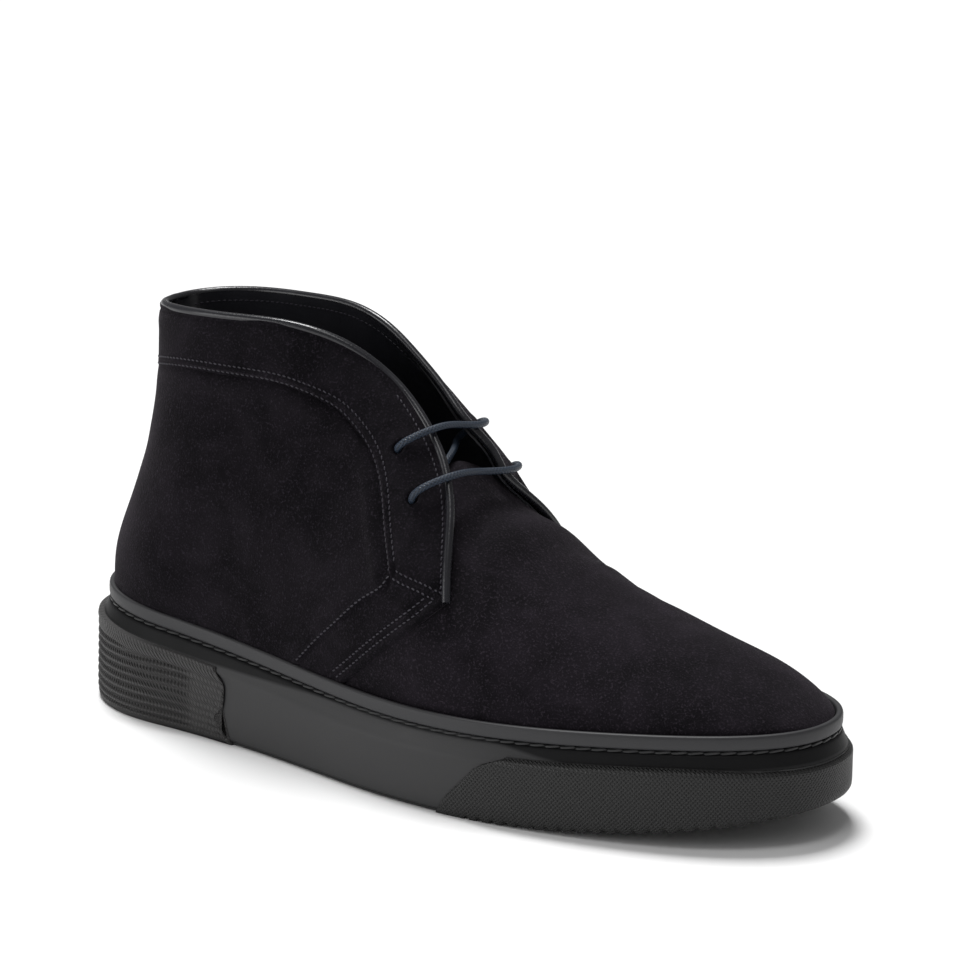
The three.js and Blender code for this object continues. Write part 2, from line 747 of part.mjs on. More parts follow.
const pieces = [
  ['outsole', makeOutsole(), RUBBER],
  ['midsole', makeMidsole(), RUBBER],
  ['rand', makeRand(), RUBBER],
  ['insole', makeInsole(), LEATHER],
  ['upper', makeUpper(), SUEDE],
  ['tongue', makeTongue(), SUEDE],
  ['piping', makePiping(), LEATHER],
  ['lace', makeLace(), CORD],
];

const boot = new THREE.Group();
for (const [name, solid, finish] of pieces) {
  const mesh = new THREE.Mesh(toGeometry(solid), new THREE.MeshStandardMaterial(finish));
  mesh.name = name;
  boot.add(mesh);
}
const box = new THREE.Box3().setFromObject(boot);
const middle = box.getCenter(new THREE.Vector3());
boot.position.set(-middle.x, -middle.y, -box.min.z);

export default boot;
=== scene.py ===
import bmesh
import bpy
import numpy as np
from mathutils import Matrix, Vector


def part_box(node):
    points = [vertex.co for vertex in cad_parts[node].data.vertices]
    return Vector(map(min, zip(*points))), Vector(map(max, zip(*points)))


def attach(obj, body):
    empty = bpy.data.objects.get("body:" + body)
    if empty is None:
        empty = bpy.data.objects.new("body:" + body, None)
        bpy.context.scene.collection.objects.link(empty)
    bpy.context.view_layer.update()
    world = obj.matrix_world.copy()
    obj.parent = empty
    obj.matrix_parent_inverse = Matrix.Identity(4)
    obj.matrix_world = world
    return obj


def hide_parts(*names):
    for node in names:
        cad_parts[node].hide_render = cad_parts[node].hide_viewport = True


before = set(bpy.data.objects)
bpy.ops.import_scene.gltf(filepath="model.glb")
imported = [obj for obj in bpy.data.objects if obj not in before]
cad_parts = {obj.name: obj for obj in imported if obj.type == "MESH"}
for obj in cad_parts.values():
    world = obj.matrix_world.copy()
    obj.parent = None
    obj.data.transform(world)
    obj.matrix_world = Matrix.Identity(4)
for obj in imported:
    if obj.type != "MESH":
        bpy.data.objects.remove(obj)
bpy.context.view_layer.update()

# ---- Cup sole ----------------------------------------------------------------------
# The midsole is one moulded rubber cup that the lasted upper is bonded into. Its wall
# stands upright, turns in as a sloping shoulder, and ends under the rolled rand in a small
# step, where the cord stitches lie.

# Shapes are laid out in millimetres from the back of the sole (x = 0) to the toe. They are
# moved into the part's frame, in metres, when they become a mesh.
SOLE_LENGTH = 304.0
HEEL_END = (46.5, 2.15)  # depth and power of the outline's rounding at the heel
TOE_END = (89.5, 2.13)
SPRING_START, SPRING_LIFT = 185.0, 13.2  # where the toe spring starts, and its height
CUP_INSET = 5.9  # from the sole's outline to the inside of the cup
AROUND_SOLE = 640  # steps round the outline


def natural_spline(table):
    """The natural cubic curve through the (place, value) rows of a table, level beyond them."""
    places, values = np.array(table, float).T
    last = len(places) - 1
    width = np.diff(places)
    system = np.eye(last + 1)
    pull = np.zeros(last + 1)
    inner = np.arange(1, last)
    system[inner, inner - 1] = width[:-1]
    system[inner, inner] = 2 * (width[:-1] + width[1:])
    system[inner, inner + 1] = width[1:]
    pull[1:-1] = 6 * np.diff(np.diff(values) / width)
    bend = np.linalg.solve(system, pull)

    def curve(place):
        place = np.clip(place, places[0], places[-1])
        i = np.clip(np.searchsorted(places, place) - 1, 0, last - 1)
        t = place - places[i]
        slope = (values[i + 1] - values[i]) / width[i]
        slope = slope - width[i] * (2 * bend[i] + bend[i + 1]) / 6
        cubic = (bend[i + 1] - bend[i]) / (6 * width[i])
        return values[i] + slope * t + bend[i] * t**2 / 2 + cubic * t**3

    return curve


plan_half = natural_spline([
    (0, 38.4), (50, 38.4), (110, 41.1), (150, 46.8), (200, 54.2), (235, 51.9), (304, 51.3),
])
plan_centre = natural_spline([
    (0, 0), (50, 0), (110, -4.9), (150, -7.3), (200, -1.1), (235, 1.9), (304, 8.1),
])
feather = natural_spline([
    (0, 44.3), (60, 39.2), (130, 34), (200, 34.2), (250, 37.4), (280, 38.9), (304, 39.5),
])


def ease(part):
    """0 to 1 with level ends: three times the square less twice the cube."""
    part = np.clip(part, 0, 1)
    return part**2 * (3 - 2 * part)


def rounding(distance, depth, power):
    """A superellipse end: 0 at the end of an outline, 1 from depth onwards."""
    part = np.clip(distance / depth, 0, 1)
    return (1 - (1 - part) ** power) ** (1 / power)


def outline_half(x, inset):
    """Half breadth of the sole's outline after it is moved in: the plan's half breadth less
    the inset, rounded off at both ends."""
    heel = rounding(x - inset, HEEL_END[0] - inset, HEEL_END[1])
    toe = rounding(SOLE_LENGTH - inset - x, TOE_END[0] - inset, TOE_END[1])
    return (plan_half(x) - inset) * heel * toe


def underside(x):
    """Height of the sole's underside: flat to the ball, then rising as a parabola."""
    part = np.maximum(0, x - SPRING_START) / (SOLE_LENGTH - SPRING_START)
    return SPRING_LIFT * part**2


def sole_rows(table):
    """Rings round the sole, one for each (inset, share, lift) row. A turn goes from the heel
    along the outer side to the toe and back: x runs as a cosine, y is the centre line plus
    or less the half breadth, and z is the underside plus the share of the way to the
    feather line plus the lift."""
    inset, share, lift = np.array(table, float).T[:, :, None]
    turn = np.linspace(0, 2, AROUND_SOLE + 1)[None]
    side = np.where(turn < 1, -1, 1)
    part = np.where(turn < 1, turn, 2 - turn)
    x = inset + (SOLE_LENGTH - 2 * inset) * (1 - np.cos(np.pi * part)) / 2
    y = plan_centre(x) + side * outline_half(x, inset)
    z = underside(x) + share * (feather(x) - underside(x)) + lift
    return np.stack([x, y, z + 0 * x], -1)


def corners_cut(rows, times=2):
    """Rounds a section: each stretch between two rows keeps its middle half, and the new
    points at its quarters cut the corners off."""
    for _ in range(times):
        early = 0.75 * rows[:-1] + 0.25 * rows[1:]
        late = 0.25 * rows[:-1] + 0.75 * rows[1:]
        between = np.stack([early, late], 1).reshape(-1, *rows.shape[1:])
        rows = np.concatenate([rows[:1], between, rows[-1:]])
    return rows


# The part's own origin in this layout: the outsole's box gives it.
outsole_low, outsole_high = (1000 * np.array(corner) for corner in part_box("outsole"))
outline = sole_rows([(0, 0, 0)])[0]
ORIGIN = np.array([
    -outsole_low[0],
    (outline[:, 1].min() + outline[:, 1].max() - outsole_low[1] - outsole_high[1]) / 2,
    0,
])


def strips(line):
    """Four-sided faces that close a loop of corners, each from one half to the other."""
    i = np.arange((len(line) - 1) // 2)
    return np.stack([line[i], line[i + 1], line[-2 - i], line[-1 - i]], 1)


def grid_faces(rows, columns, ends="none"):
    """Faces of a grid of corners. Ends closes its first and last row, or column, by strips."""
    number = np.arange(rows * columns).reshape(rows, columns)
    faces = [np.stack(
        [number[:-1, :-1], number[:-1, 1:], number[1:, 1:], number[1:, :-1]], -1
    ).reshape(-1, 4)]
    if ends == "rows":
        faces += [strips(number[0]), strips(number[-1][::-1])]
    if ends == "columns":
        faces += [strips(number[:, 0][::-1]), strips(number[:, -1])]
    return np.concatenate(faces)


def make_piece(name, corners, faces, material, replaced, uv=None, sharp=50):
    """A piece from corners in millimetres and four-sided faces. Corners that coincide are
    merged, which closes seams and poles, and the faces are turned outwards."""
    mesh = bpy.data.meshes.new(name)
    places = (np.reshape(corners, (-1, 3)) - ORIGIN) / 1000
    mesh.from_pydata(places.tolist(), [], faces.tolist())
    if uv is not None:
        layer = mesh.uv_layers.new(name="UVMap")
        layer.data.foreach_set("uv", np.reshape(uv, (-1, 2))[faces.ravel()].ravel())
    shape = bmesh.new()
    shape.from_mesh(mesh)
    bmesh.ops.remove_doubles(shape, verts=shape.verts, dist=2e-6)
    bmesh.ops.recalc_face_normals(shape, faces=shape.faces)
    shape.to_mesh(mesh)
    shape.free()
    mesh.polygons.foreach_set("use_smooth", np.ones(len(mesh.polygons), bool))
    mesh.set_sharp_from_angle(angle=np.radians(sharp))
    mesh.materials.append(material)
    piece = bpy.data.objects.new(name, mesh)
    bpy.context.scene.collection.objects.link(piece)
    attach(piece, "root")
    for node in replaced:
        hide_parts(node)
    return piece


def linear(colour):
    """An sRGB hex colour as linear red, green, blue and alpha."""
    parts = np.array([int(colour[i:i + 2], 16) for i in (1, 3, 5)]) / 255
    parts = np.where(parts > 0.04045, ((parts + 0.055) / 1.055) ** 2.4, parts / 12.92)
    return (*parts.tolist(), 1.0)


def add_node(material, kind, inputs, **settings):
    """Adds one node with its settings, and sets or links its inputs."""
    node = material.node_tree.nodes.new(kind)
    for name, value in settings.items():
        setattr(node, name, value)
    for name, value in inputs.items():
        if isinstance(value, bpy.types.NodeSocket):
            material.node_tree.links.new(value, node.inputs[name])
        else:
            node.inputs[name].default_value = value
    return node


def new_material(name):
    """A material with an empty node tree."""
    material = bpy.data.materials.new(name)
    material.use_nodes = True
    material.node_tree.nodes.clear()
    return material


def finish_material(material, shader, colour):
    """Links the shader to the output, and gives the plain view its colour."""
    material.diffuse_color = linear(colour)
    add_node(material, "ShaderNodeOutputMaterial", {"Surface": shader.outputs[0]})
    return material


SATIN, SHADE_GLOSS = 0.4, 0.12  # specular level of the moulded face and of the band under painted shade


def moulded_rubber(name, colour, worn, roughness, height=None, shade=None):
    """Compression-moulded rubber: a satin black face with the mould's faint 0.8 mm grain and
    slow changes of tone, 15 mm across. `height` adds a moulded pattern 0.45 mm deep, and
    `shade` says where painted shade darkens the rubber and lowers its gloss."""
    rubber = new_material(name)
    place = add_node(rubber, "ShaderNodeTexCoord", {}).outputs["Object"]
    if height:
        height = height(rubber)
    cloud = add_node(rubber, "ShaderNodeTexNoise", {
        "Vector": place, "Scale": 1 / 0.015, "Detail": 3.0, "Roughness": 0.6,
    })
    grain = add_node(rubber, "ShaderNodeTexNoise", {
        "Vector": place, "Scale": 1 / 0.0008, "Detail": 2.0,
    })
    tone = add_node(rubber, "ShaderNodeMix", {
        "Factor": cloud.outputs["Fac"], "A": linear(colour), "B": linear(worn),
    }, data_type="RGBA")
    matt = add_node(rubber, "ShaderNodeMapRange", {
        "Value": cloud.outputs["Fac"], "To Min": roughness - 0.06, "To Max": roughness + 0.08,
    })
    gloss = SATIN
    if shade:
        shaded = shade(rubber)
        # Painted shade: where `shade` says, the colour goes towards near-black and the gloss
        # down.
        tone = add_node(rubber, "ShaderNodeMix", {
            "Factor": shaded, "A": tone.outputs["Result"], "B": linear("#151516"),
        }, data_type="RGBA")
        gloss = add_node(rubber, "ShaderNodeMapRange", {
            "Value": shaded, "To Min": SATIN, "To Max": SHADE_GLOSS,
        }).outputs["Result"]
    bump = add_node(rubber, "ShaderNodeBump", {
        "Height": grain.outputs["Fac"], "Strength": 0.35, "Distance": 0.00012,
    })
    if height:
        bump = add_node(rubber, "ShaderNodeBump", {
            "Height": height, "Strength": 1.0, "Distance": 0.00045,
            "Normal": bump.outputs["Normal"],
        })
    shader = add_node(rubber, "ShaderNodeBsdfPrincipled", {
        "Base Color": tone.outputs["Result"], "Roughness": matt.outputs["Result"],
        "Specular IOR Level": gloss, "Normal": bump.outputs["Normal"],
    })
    return finish_material(rubber, shader, colour)


def painted_shade_band(rubber):
    """Painted shade on the wall's upward-sloping shoulder, above the line where it starts, on
    the piece's own map: its second coordinate is the height in millimetres above that line."""
    place = add_node(rubber, "ShaderNodeUVMap", {}, uv_map="UVMap").outputs["UV"]
    parts = add_node(rubber, "ShaderNodeSeparateXYZ", {"Vector": place})
    return add_node(rubber, "ShaderNodeMapRange", {
        "Value": parts.outputs["Y"], "From Min": -0.4, "From Max": 0.8, "To Max": 0.95,
    }).outputs["Result"]


smooth_rubber = moulded_rubber(
    "smooth_moulded_rubber", "#272728", "#2d2d2e", 0.5, shade=painted_shade_band,
)

# The side-view edges of the outsole's two wraps, as the place along the sole at a height,
# and their tops, measured from the feather line. The cup is stepped in behind them.
HEEL_WRAP_TOP = -10.6
WRAP_SEAT = 2.4  # depth of the step
SEAT_SLOPE = 1.2  # the step's own width
SEAT_MARGIN = {"edge": 1.4, "top": 0.3}  # from the wrap's edge and top line to the step
heel_wrap_edge = natural_spline([
    (-1, 82.5), (6, 76), (9.5, 74.1), (12.2, 76.2), (16, 77.5), (20, 77.7), (23.9, 76.3),
    (26.4, 72.7),
])
toe_wrap_edge = natural_spline([
    (-1, 178.6), (1.6, 180.2), (8.3, 184.6), (16.4, 192), (22, 199), (24.4, 206),
])


def toe_wrap_top(x):
    """Top of the toe bumper from the feather line: it dips by 1.4 mm at the very toe."""
    return -9.8 - 1.4 * ease((x - 262) / 42)


def heel_wrap_top(x):
    """Top of the heel wrap from the feather line, the same all round."""
    return HEEL_WRAP_TOP + 0 * x


CUP_WALL = [  # inset from the outline, share of the way up to the feather line, lift
    (4.4, 0, 3.3), (4.4, 0, 1.5), (1.8, 0, 1.3), (1.35, 0, 1.6), (1.25, 0, 3), (1.2, 0, 6),
    (1.2, 0.15, 3), (1.2, 0.3, 0), (1.2, 0.45, -3), (1.2, 0.6, -6), (1.2, 0.75, -9),
    (1.2, 0.9, -12), (1.25, 1, -14), (1.35, 1, -12.6), (1.7, 1, -11.4), (2.3, 1, -10),
    (2.9, 1, -8.4), (3.5, 1, -6.9), (3.9, 1, -6), (4.3, 1, -5.6), (4.7, 1, -5.4), (4.9, 1, -5),
    (4.9, 1, -4.3), (CUP_INSET, 1, -4.2), (CUP_INSET, 1, -8.2),
]


def behind_wrap(past_edge, below_top):
    """1 behind a wrap and 0 beside it, from the distances past its edge and below its top."""
    past_edge = (past_edge - SEAT_MARGIN["edge"]) / SEAT_SLOPE
    below_top = (below_top - SEAT_MARGIN["top"]) / SEAT_SLOPE
    return np.minimum(ease(past_edge), ease(below_top))


cup_rows = corners_cut(sole_rows(CUP_WALL))
x, y, z = np.moveaxis(cup_rows, -1, 0)
seat = WRAP_SEAT * np.maximum(
    behind_wrap(heel_wrap_edge(z) - x, feather(x) + heel_wrap_top(x) - z),
    behind_wrap(x - toe_wrap_edge(z), feather(x) + toe_wrap_top(x) - z),
)

# The steps go straight in from the sides, and turn lengthways in the last stretch of each end.
SOLE_MIDDLE = 150.0
STRAIGHT_HALF, END_STRETCH = 100.0, 55.0
towards_end = np.clip((np.abs(x - SOLE_MIDDLE) - STRAIGHT_HALF) / END_STRETCH, 0, 1)
inwards = np.stack([
    np.sign(SOLE_MIDDLE - x) * towards_end,
    np.sign(plan_centre(x) - y) * np.sqrt(1 - towards_end**2), 0 * z,
], -1)

# The line where the painted shade on the shoulder starts: about level with the wraps' tops.
# It climbs over 112 mm from the heel to the waist, and comes down again in the 50 mm before the
# toe wrap.
SHADE_LINE_RISE = 6.5
shade_line = feather(x) + HEEL_WRAP_TOP
shade_line = shade_line + SHADE_LINE_RISE * ease((x - 54) / 112) * ease((235 - x) / 50)
cup_uv = np.stack([x, z - shade_line], -1)
cup_rows = cup_rows + seat[..., None] * inwards
make_piece(
    "midsole", cup_rows, grid_faces(*cup_rows.shape[:2], ends="rows"), smooth_rubber,
    ["midsole"], uv=cup_uv,
)

# ---- Outsole -----------------------------------------------------------------------
# A thinner, harder rubber moulding bonded under the cup. Its tread plate has cross
# grooves under the forefoot, and it is carried up the wall as a ribbed wrap at the heel
# and a knurled bumper round the toe, both a millimetre proud of the cup.

TREAD_FIRST, TREAD_LAST, TREAD_PITCH = 192.0, 292.0, 5.0
TREAD_WIDTH, TREAD_DEPTH = 1.6, 1.0
PLATE = 3.0
WRAP_THICKNESS = 3.2
UNDER_WRAPS = 2.0  # the plate's edge lies this far in from the outline
HEEL_WRAP_END, TOE_WRAP_START = 80.0, 180.0  # along the sole, at the floor
WRAP_STEP = 1.6  # under the wraps the plate is this much narrower
LIP_STEP, LIP_FROM = 2.8, 1.2  # its step behind the lip of the cup, and the step's height


def groove_depth(x):
    """Depth of the cross grooves: full within half a width of each groove's middle."""
    nearest = np.clip(np.round((x - TREAD_FIRST) / TREAD_PITCH), 0,
                      round((TREAD_LAST - TREAD_FIRST) / TREAD_PITCH))
    off = np.abs(x - TREAD_FIRST - nearest * TREAD_PITCH)
    return TREAD_DEPTH * ease((TREAD_WIDTH / 2 + 0.35 - off) / 0.7)


def tread_plate():
    """The plate as a flat tube along the sole: x is a cosine of the way along, y goes from
    side to side of the outline, and z is the underside plus the grooves, or the plate's
    top. Its edge is stepped in behind the lip of the cup."""
    along = np.linspace(0, 1, 901)[:, None]
    across = np.concatenate([[-1], np.linspace(-0.985, 0.985, 23), [1]])
    x = UNDER_WRAPS + (SOLE_LENGTH - 2 * UNDER_WRAPS) * (1 - np.cos(np.pi * along)) / 2
    wrapped = np.maximum(ease((HEEL_WRAP_END - x) / 3), ease((x - TOE_WRAP_START) / 3))
    full = outline_half(x, UNDER_WRAPS)
    half = full - WRAP_STEP * wrapped * ease(full / 20)
    behind = np.maximum(0, half - LIP_STEP * ease(full / 20))
    floor = underside(x)
    stretches = [
        (half * across, floor + groove_depth(x) + 0.4 * (np.abs(across) == 1)),
        (half, floor + LIP_FROM - 0.05), (behind, floor + LIP_FROM),
        (behind * across[::-1], floor + PLATE + 0 * across),
        (-behind, floor + LIP_FROM), (-half, floor + LIP_FROM - 0.05),
    ]
    tube = np.concatenate([
        np.stack(np.broadcast_arrays(x, plan_centre(x) + y, z), -1) for y, z in stretches
    ], 1)
    return np.concatenate([tube, tube[:, :1]], 1)


def fine_ridges(rubber, pitch, turns):
    """Sets of fine ridges, `pitch` millimetres apart on the piece's own map, each turned by
    an angle in degrees. Where sets cross, their heights are multiplied."""
    place = add_node(rubber, "ShaderNodeUVMap", {}, uv_map="UVMap").outputs["UV"]
    height = 1.0
    for angle in turns:
        turned = add_node(rubber, "ShaderNodeMapping", {
            "Vector": place, "Rotation": (0, 0, np.radians(angle)),
        })
        ridges = add_node(rubber, "ShaderNodeTexWave", {
            "Vector": turned.outputs["Vector"], "Scale": np.pi / 10 / pitch,
        })
        height = add_node(rubber, "ShaderNodeMath", {
            0: ridges.outputs["Fac"], 1: height,
        }, operation="MULTIPLY").outputs["Value"]
    return height


tread_rubber = moulded_rubber("moulded_tread_rubber", "#1c1c1c", "#232323", 0.62)
heel_rubber = moulded_rubber(
    "hatched_heel_rubber", "#353434", "#3e3d3d", 0.5,
    lambda rubber: fine_ridges(rubber, 1.05, (48,)),
)
toe_rubber = moulded_rubber(
    "knurled_toe_rubber", "#1e1e1e", "#252525", 0.5,
    lambda rubber: fine_ridges(rubber, 1.15, (42, -42)),
)
plate_rows = tread_plate()
make_piece(
    "tread_plate", plate_rows, grid_faces(*plate_rows.shape[:2]), tread_rubber,
    ["outsole"],
)


def from_seam(part):
    """The way along a side from the middle of its round end: it starts as the power that
    keeps the end round, and goes on evenly after a quarter of the way."""
    start, power = 0.25, 2.15
    slow = np.minimum(part, start) ** power
    even = power * start ** (power - 1) * np.maximum(part - start, 0)
    return (slow + even) / (start**power + power * start ** (power - 1) * (1 - start))


def wrap_shell(end, edge, edge_height, top, columns, rows, relief):
    """A wrap round one end of the sole: the outer face from the floor to its top line, the
    ledge on top, and the inner face. Each point lies a part of the way from the end of the
    sole (0 or its length) to the wrap's side-view edge, on the outline moved in by the
    section's inset plus the relief's depth."""
    outer = np.linspace(0, 1, rows)
    section = natural_spline([
        (0, 1.0), (0.06, 0.35), (0.14, 0.05), (0.3, 0), (0.8, 0.1), (0.93, 0.3), (1, 0.75),
    ])(outer)
    high = np.concatenate([outer, [1.0, 1.0, 0.5, 0.0, 0.0]])[:, None]
    base = np.concatenate([section, [1.5, WRAP_THICKNESS, WRAP_THICKNESS, WRAP_THICKNESS, 1.0]])
    raised = np.zeros_like(high)
    raised[rows:rows + 2] = 0.25
    turn = np.linspace(-1, 1, columns)[None]
    part = from_seam(np.abs(turn))
    edge_x = edge(high * edge_height)
    rough_x = end + (edge_x - end) * part
    faced = np.concatenate([np.ones(rows), np.zeros(5)])[:, None]
    inset = base[:, None] + faced * relief(high, rough_x, np.abs(turn))
    start = inset if end == 0 else SOLE_LENGTH - inset
    x = start + (edge_x - start) * part
    y = plan_centre(x) + np.sign(turn) * outline_half(x, inset)
    full = feather(x) + top(x) - underside(x)
    z = underside(x) + high * full + raised + groove_depth(x) * np.maximum(0, 1 - 6 * high)
    shell = np.stack([x, y, z], -1)
    step = np.linalg.norm(np.diff(shell[..., :2], axis=1), axis=2)
    length = np.concatenate([0 * step[:, :1], np.cumsum(step, 1)], 1)
    length = length - length[:, columns // 2][:, None]
    uv = np.stack([length, z], -1)
    return shell, uv


RIB_PITCH, RIB_DEPTH = 3.0, 1.1
RIBS_END = 65.0  # along the sole
PLAIN_BELOW, PLAIN_ABOVE = 2.2, 4.2  # plain bands under and over the ribs
RIM = 0.5  # how far the face lies below the heel wrap's rim
END_ROUNDING = 0.5  # of a wrap's front or rear edge


def rounded_edge(turn):
    """Depth of the rounding at a wrap's side-view edge: it sets in with the last hundredth."""
    return END_ROUNDING * ease((turn - 0.99) / 0.01) ** 2


def heel_ribs(high, x, turn):
    """Ribs round the heel, cosine waves that run out at the side, under a raised rim. The
    back of the wrap swells out by 0.6 mm."""
    full = 28.5 + 5 * ease((60 - x) / 60)  # the wrap's own height, most at the back
    height = high * full
    wave = 0.5 - 0.5 * np.cos(2 * np.pi * (height - RIB_PITCH / 2) / RIB_PITCH)
    within = ease((height - PLAIN_BELOW) / 1.2) * ease((full - PLAIN_ABOVE - height) / 1.2)
    ribs = RIB_DEPTH * wave * within * ease((RIBS_END - x) / 9)
    below_rim = RIM * ease((full - 1.3 - height) / 0.5) * ease((0.985 - turn) / 0.01)
    return ribs + below_rim + rounded_edge(turn) - 0.6 * ease((60 - x) / 30)


def toe_face(high, x, turn):
    """A flat face under a top edge that is bevelled by 1.6 mm, and a rounded rear edge."""
    return 1.6 * ease((high - 0.89) / 0.11) ** 1.3 + rounded_edge(turn)


for name, rubber, parts in (
    ("heel_wrap", heel_rubber,
     (0.0, heel_wrap_edge, 27.4, heel_wrap_top, 361, 100, heel_ribs)),
    ("toe_bumper", toe_rubber,
     (SOLE_LENGTH, toe_wrap_edge, 24.8, toe_wrap_top, 621, 60, toe_face)),
):
    shell, uv = wrap_shell(*parts)
    make_piece(
        name, shell, grid_faces(*shell.shape[:2], ends="columns"), rubber,
        ["outsole"], uv=uv, sharp=60,
    )

# ---- Rand and welt stitching -------------------------------------------------------
# A rolled rubber rand covers the joint between the upper and the cup. A waxed cord is
# sewn through the cup's lip just below it, in long twisted stitches.

RAND_INSET, RAND_HALF_WIDTH = 5.2, 1.3
RAND_LOW, RAND_HIGH = -4.1, 1.2  # from the feather line
SQUARENESS = 0.6  # the section is a superellipse: cosine and sine are raised to this power
turn = np.linspace(0, 2 * np.pi, 21)
across = np.sign(np.cos(turn)) * np.abs(np.cos(turn)) ** SQUARENESS
upwards = np.sign(np.sin(turn)) * np.abs(np.sin(turn)) ** SQUARENESS
rand_height = (RAND_LOW + RAND_HIGH) / 2 + (RAND_HIGH - RAND_LOW) / 2 * upwards
rand_rows = sole_rows(
    np.stack([RAND_INSET - RAND_HALF_WIDTH * across, 1 + 0 * turn, rand_height], -1)
)
rand_rubber = moulded_rubber("rolled_rand_rubber", "#2c2c2e", "#343436", 0.5)
make_piece(
    "rand", rand_rows, grid_faces(*rand_rows.shape[:2]), rand_rubber, ["rand"],
)


def spaced(line, pitch):
    """Points every `pitch` along a line of points, with the direction of the line at each."""
    length = np.concatenate([[0], np.cumsum(np.linalg.norm(np.diff(line, axis=0), axis=1))])
    count = max(2, round(length[-1] / pitch))
    at = (np.arange(count) + 0.5) * length[-1] / count
    parts = [np.stack([np.interp(a, length, c) for c in line.T], -1) for a in (at - .1, at + .1)]
    along = parts[1] - parts[0]
    return (parts[0] + parts[1]) / 2, along / np.linalg.norm(along, axis=1, keepdims=True)


def unit(vectors):
    """Vectors divided by their lengths."""
    return vectors / np.linalg.norm(vectors, axis=-1, keepdims=True)


def stitch_corners(centres, along, outwards, length, radius, slant=0.0):
    """Corners of many like stitches: each is a spindle of six sides, `length` long, whose
    radius goes as the root of the sine of the way along, flattened to three quarters, and
    turned in its surface by the slant."""
    side = unit(np.cross(outwards, along))
    outwards = unit(np.cross(along, side))
    along = np.cos(slant) * along + np.sin(slant) * side
    side = np.cross(outwards, along)
    way = np.linspace(0, np.pi, 6)[:, None]
    around = np.linspace(0, 2 * np.pi, 7)[None]
    swell = np.sin(way) ** 0.5
    local = np.stack(np.broadcast_arrays(
        -np.cos(way) * length / 2, radius * swell * np.cos(around),
        0.75 * radius * swell * np.sin(around)), -1)
    axes = np.stack([along, side, outwards], 1)
    return centres[:, None, None] + np.einsum("ija,nab->nijb", local, axes)


def make_stitches(name, corners, material, replaced):
    """One piece of many stitches, whose faces are those of one stitch repeated."""
    one = grid_faces(*corners.shape[1:3])
    each = corners.shape[1] * corners.shape[2]
    faces = (one[None] + each * np.arange(len(corners))[:, None, None]).reshape(-1, 4)
    return make_piece(name, corners, faces, material, replaced)


def waxed_thread(name, colour, light, roughness):
    """Waxed polyester thread: dark, slightly glossy, lighter where its twist catches light."""
    thread = new_material(name)
    place = add_node(thread, "ShaderNodeTexCoord", {}).outputs["Object"]
    twist = add_node(thread, "ShaderNodeTexNoise", {
        "Vector": place, "Scale": 1 / 0.0009, "Detail": 1.0,
    })
    tone = add_node(thread, "ShaderNodeMix", {
        "Factor": twist.outputs["Fac"], "A": linear(colour), "B": linear(light),
    }, data_type="RGBA")
    bump = add_node(thread, "ShaderNodeBump", {
        "Height": twist.outputs["Fac"], "Strength": 0.5, "Distance": 0.0002,
    })
    shader = add_node(thread, "ShaderNodeBsdfPrincipled", {
        "Base Color": tone.outputs["Result"], "Roughness": roughness,
        "Normal": bump.outputs["Normal"],
    })
    return finish_material(thread, shader, colour)


WELT_STITCH, WELT_CORD = 5.6, 0.6  # a stitch's length, which is also the pitch, and radius
welt_line = sole_rows([(4.5, 1, -4.75)])[0]
centres, along = spaced(welt_line, WELT_STITCH)
level = np.stack([along[:, 1], -along[:, 0], 0 * along[:, 0]], -1)
welt_thread = waxed_thread("waxed_welt_cord", "#08080a", "#131315", 0.5)
make_stitches(
    "rand_stitches", stitch_corners(centres, along, level, WELT_STITCH, WELT_CORD, 0.1),
    welt_thread, ["rand"],
)

# ---- Vamp and tongue ---------------------------------------------------------------
# One piece of brushed black suede, lasted over the toe and bonded into the cup. It runs
# up under the quarters' facings as the tongue, a little below the facings' own surface.

UPPER_INSET = 6.8  # from the sole's outline to the upper
TOE_X = 297.2
TUCK = 4.5  # the upper goes this far down behind the rand
THROAT_FULLNESS = 0.06  # how much fuller a section is for each millimetre of drop
THROAT_TURN = 0.1  # the inner side of the throat lies further forward by this part of y

ridge = natural_spline([
    (20, 230), (60, 215), (85, 195), (110, 163), (130, 141), (150, 124), (170, 107),
    (190, 89.4), (200, 81.4), (215, 73.4), (230, 67.8), (250, 62.2), (267, 57.2), (280, 51.4),
    (288, 46.9), (294, 42.4), (297.2, 39.3),
])
crown_power = natural_spline([(100, 2.1), (170, 2.1), (200, 1.95), (240, 1.72), (300, 1.65)])
crown_shift = natural_spline([(100, 0), (170, 3), (200, 3), (240, 3), (300, 5)])
back_seam = natural_spline([
    (30, 6.8), (45, 7.1), (55, 7.8), (70, 11.2), (85, 16.6), (100, 21), (118, 23.6),
    (140, 24.6), (165, 24.6),
])
narrowing = natural_spline([
    (30, 1), (45, 1.02), (55, 1.03), (70, 1), (85, 0.96), (100, 0.92), (118, 0.89), (140, 0.9),
    (165, 0.91),
])
throat_sink = natural_spline([
    (140, 15.6), (155, 13.6), (162, 12.6), (172, 10.4), (182, 5), (192, 3.5), (202, 0),
])
# Rear edge of the vamp and the tongue, from the feather line (0) up to the ridge (1).
vamp_rear = natural_spline([
    (0, 122), (0.06, 130), (0.34, 147), (0.6, 161), (0.75, 160), (0.88, 157), (0.95, 152.5),
    (1, 149.5),
])


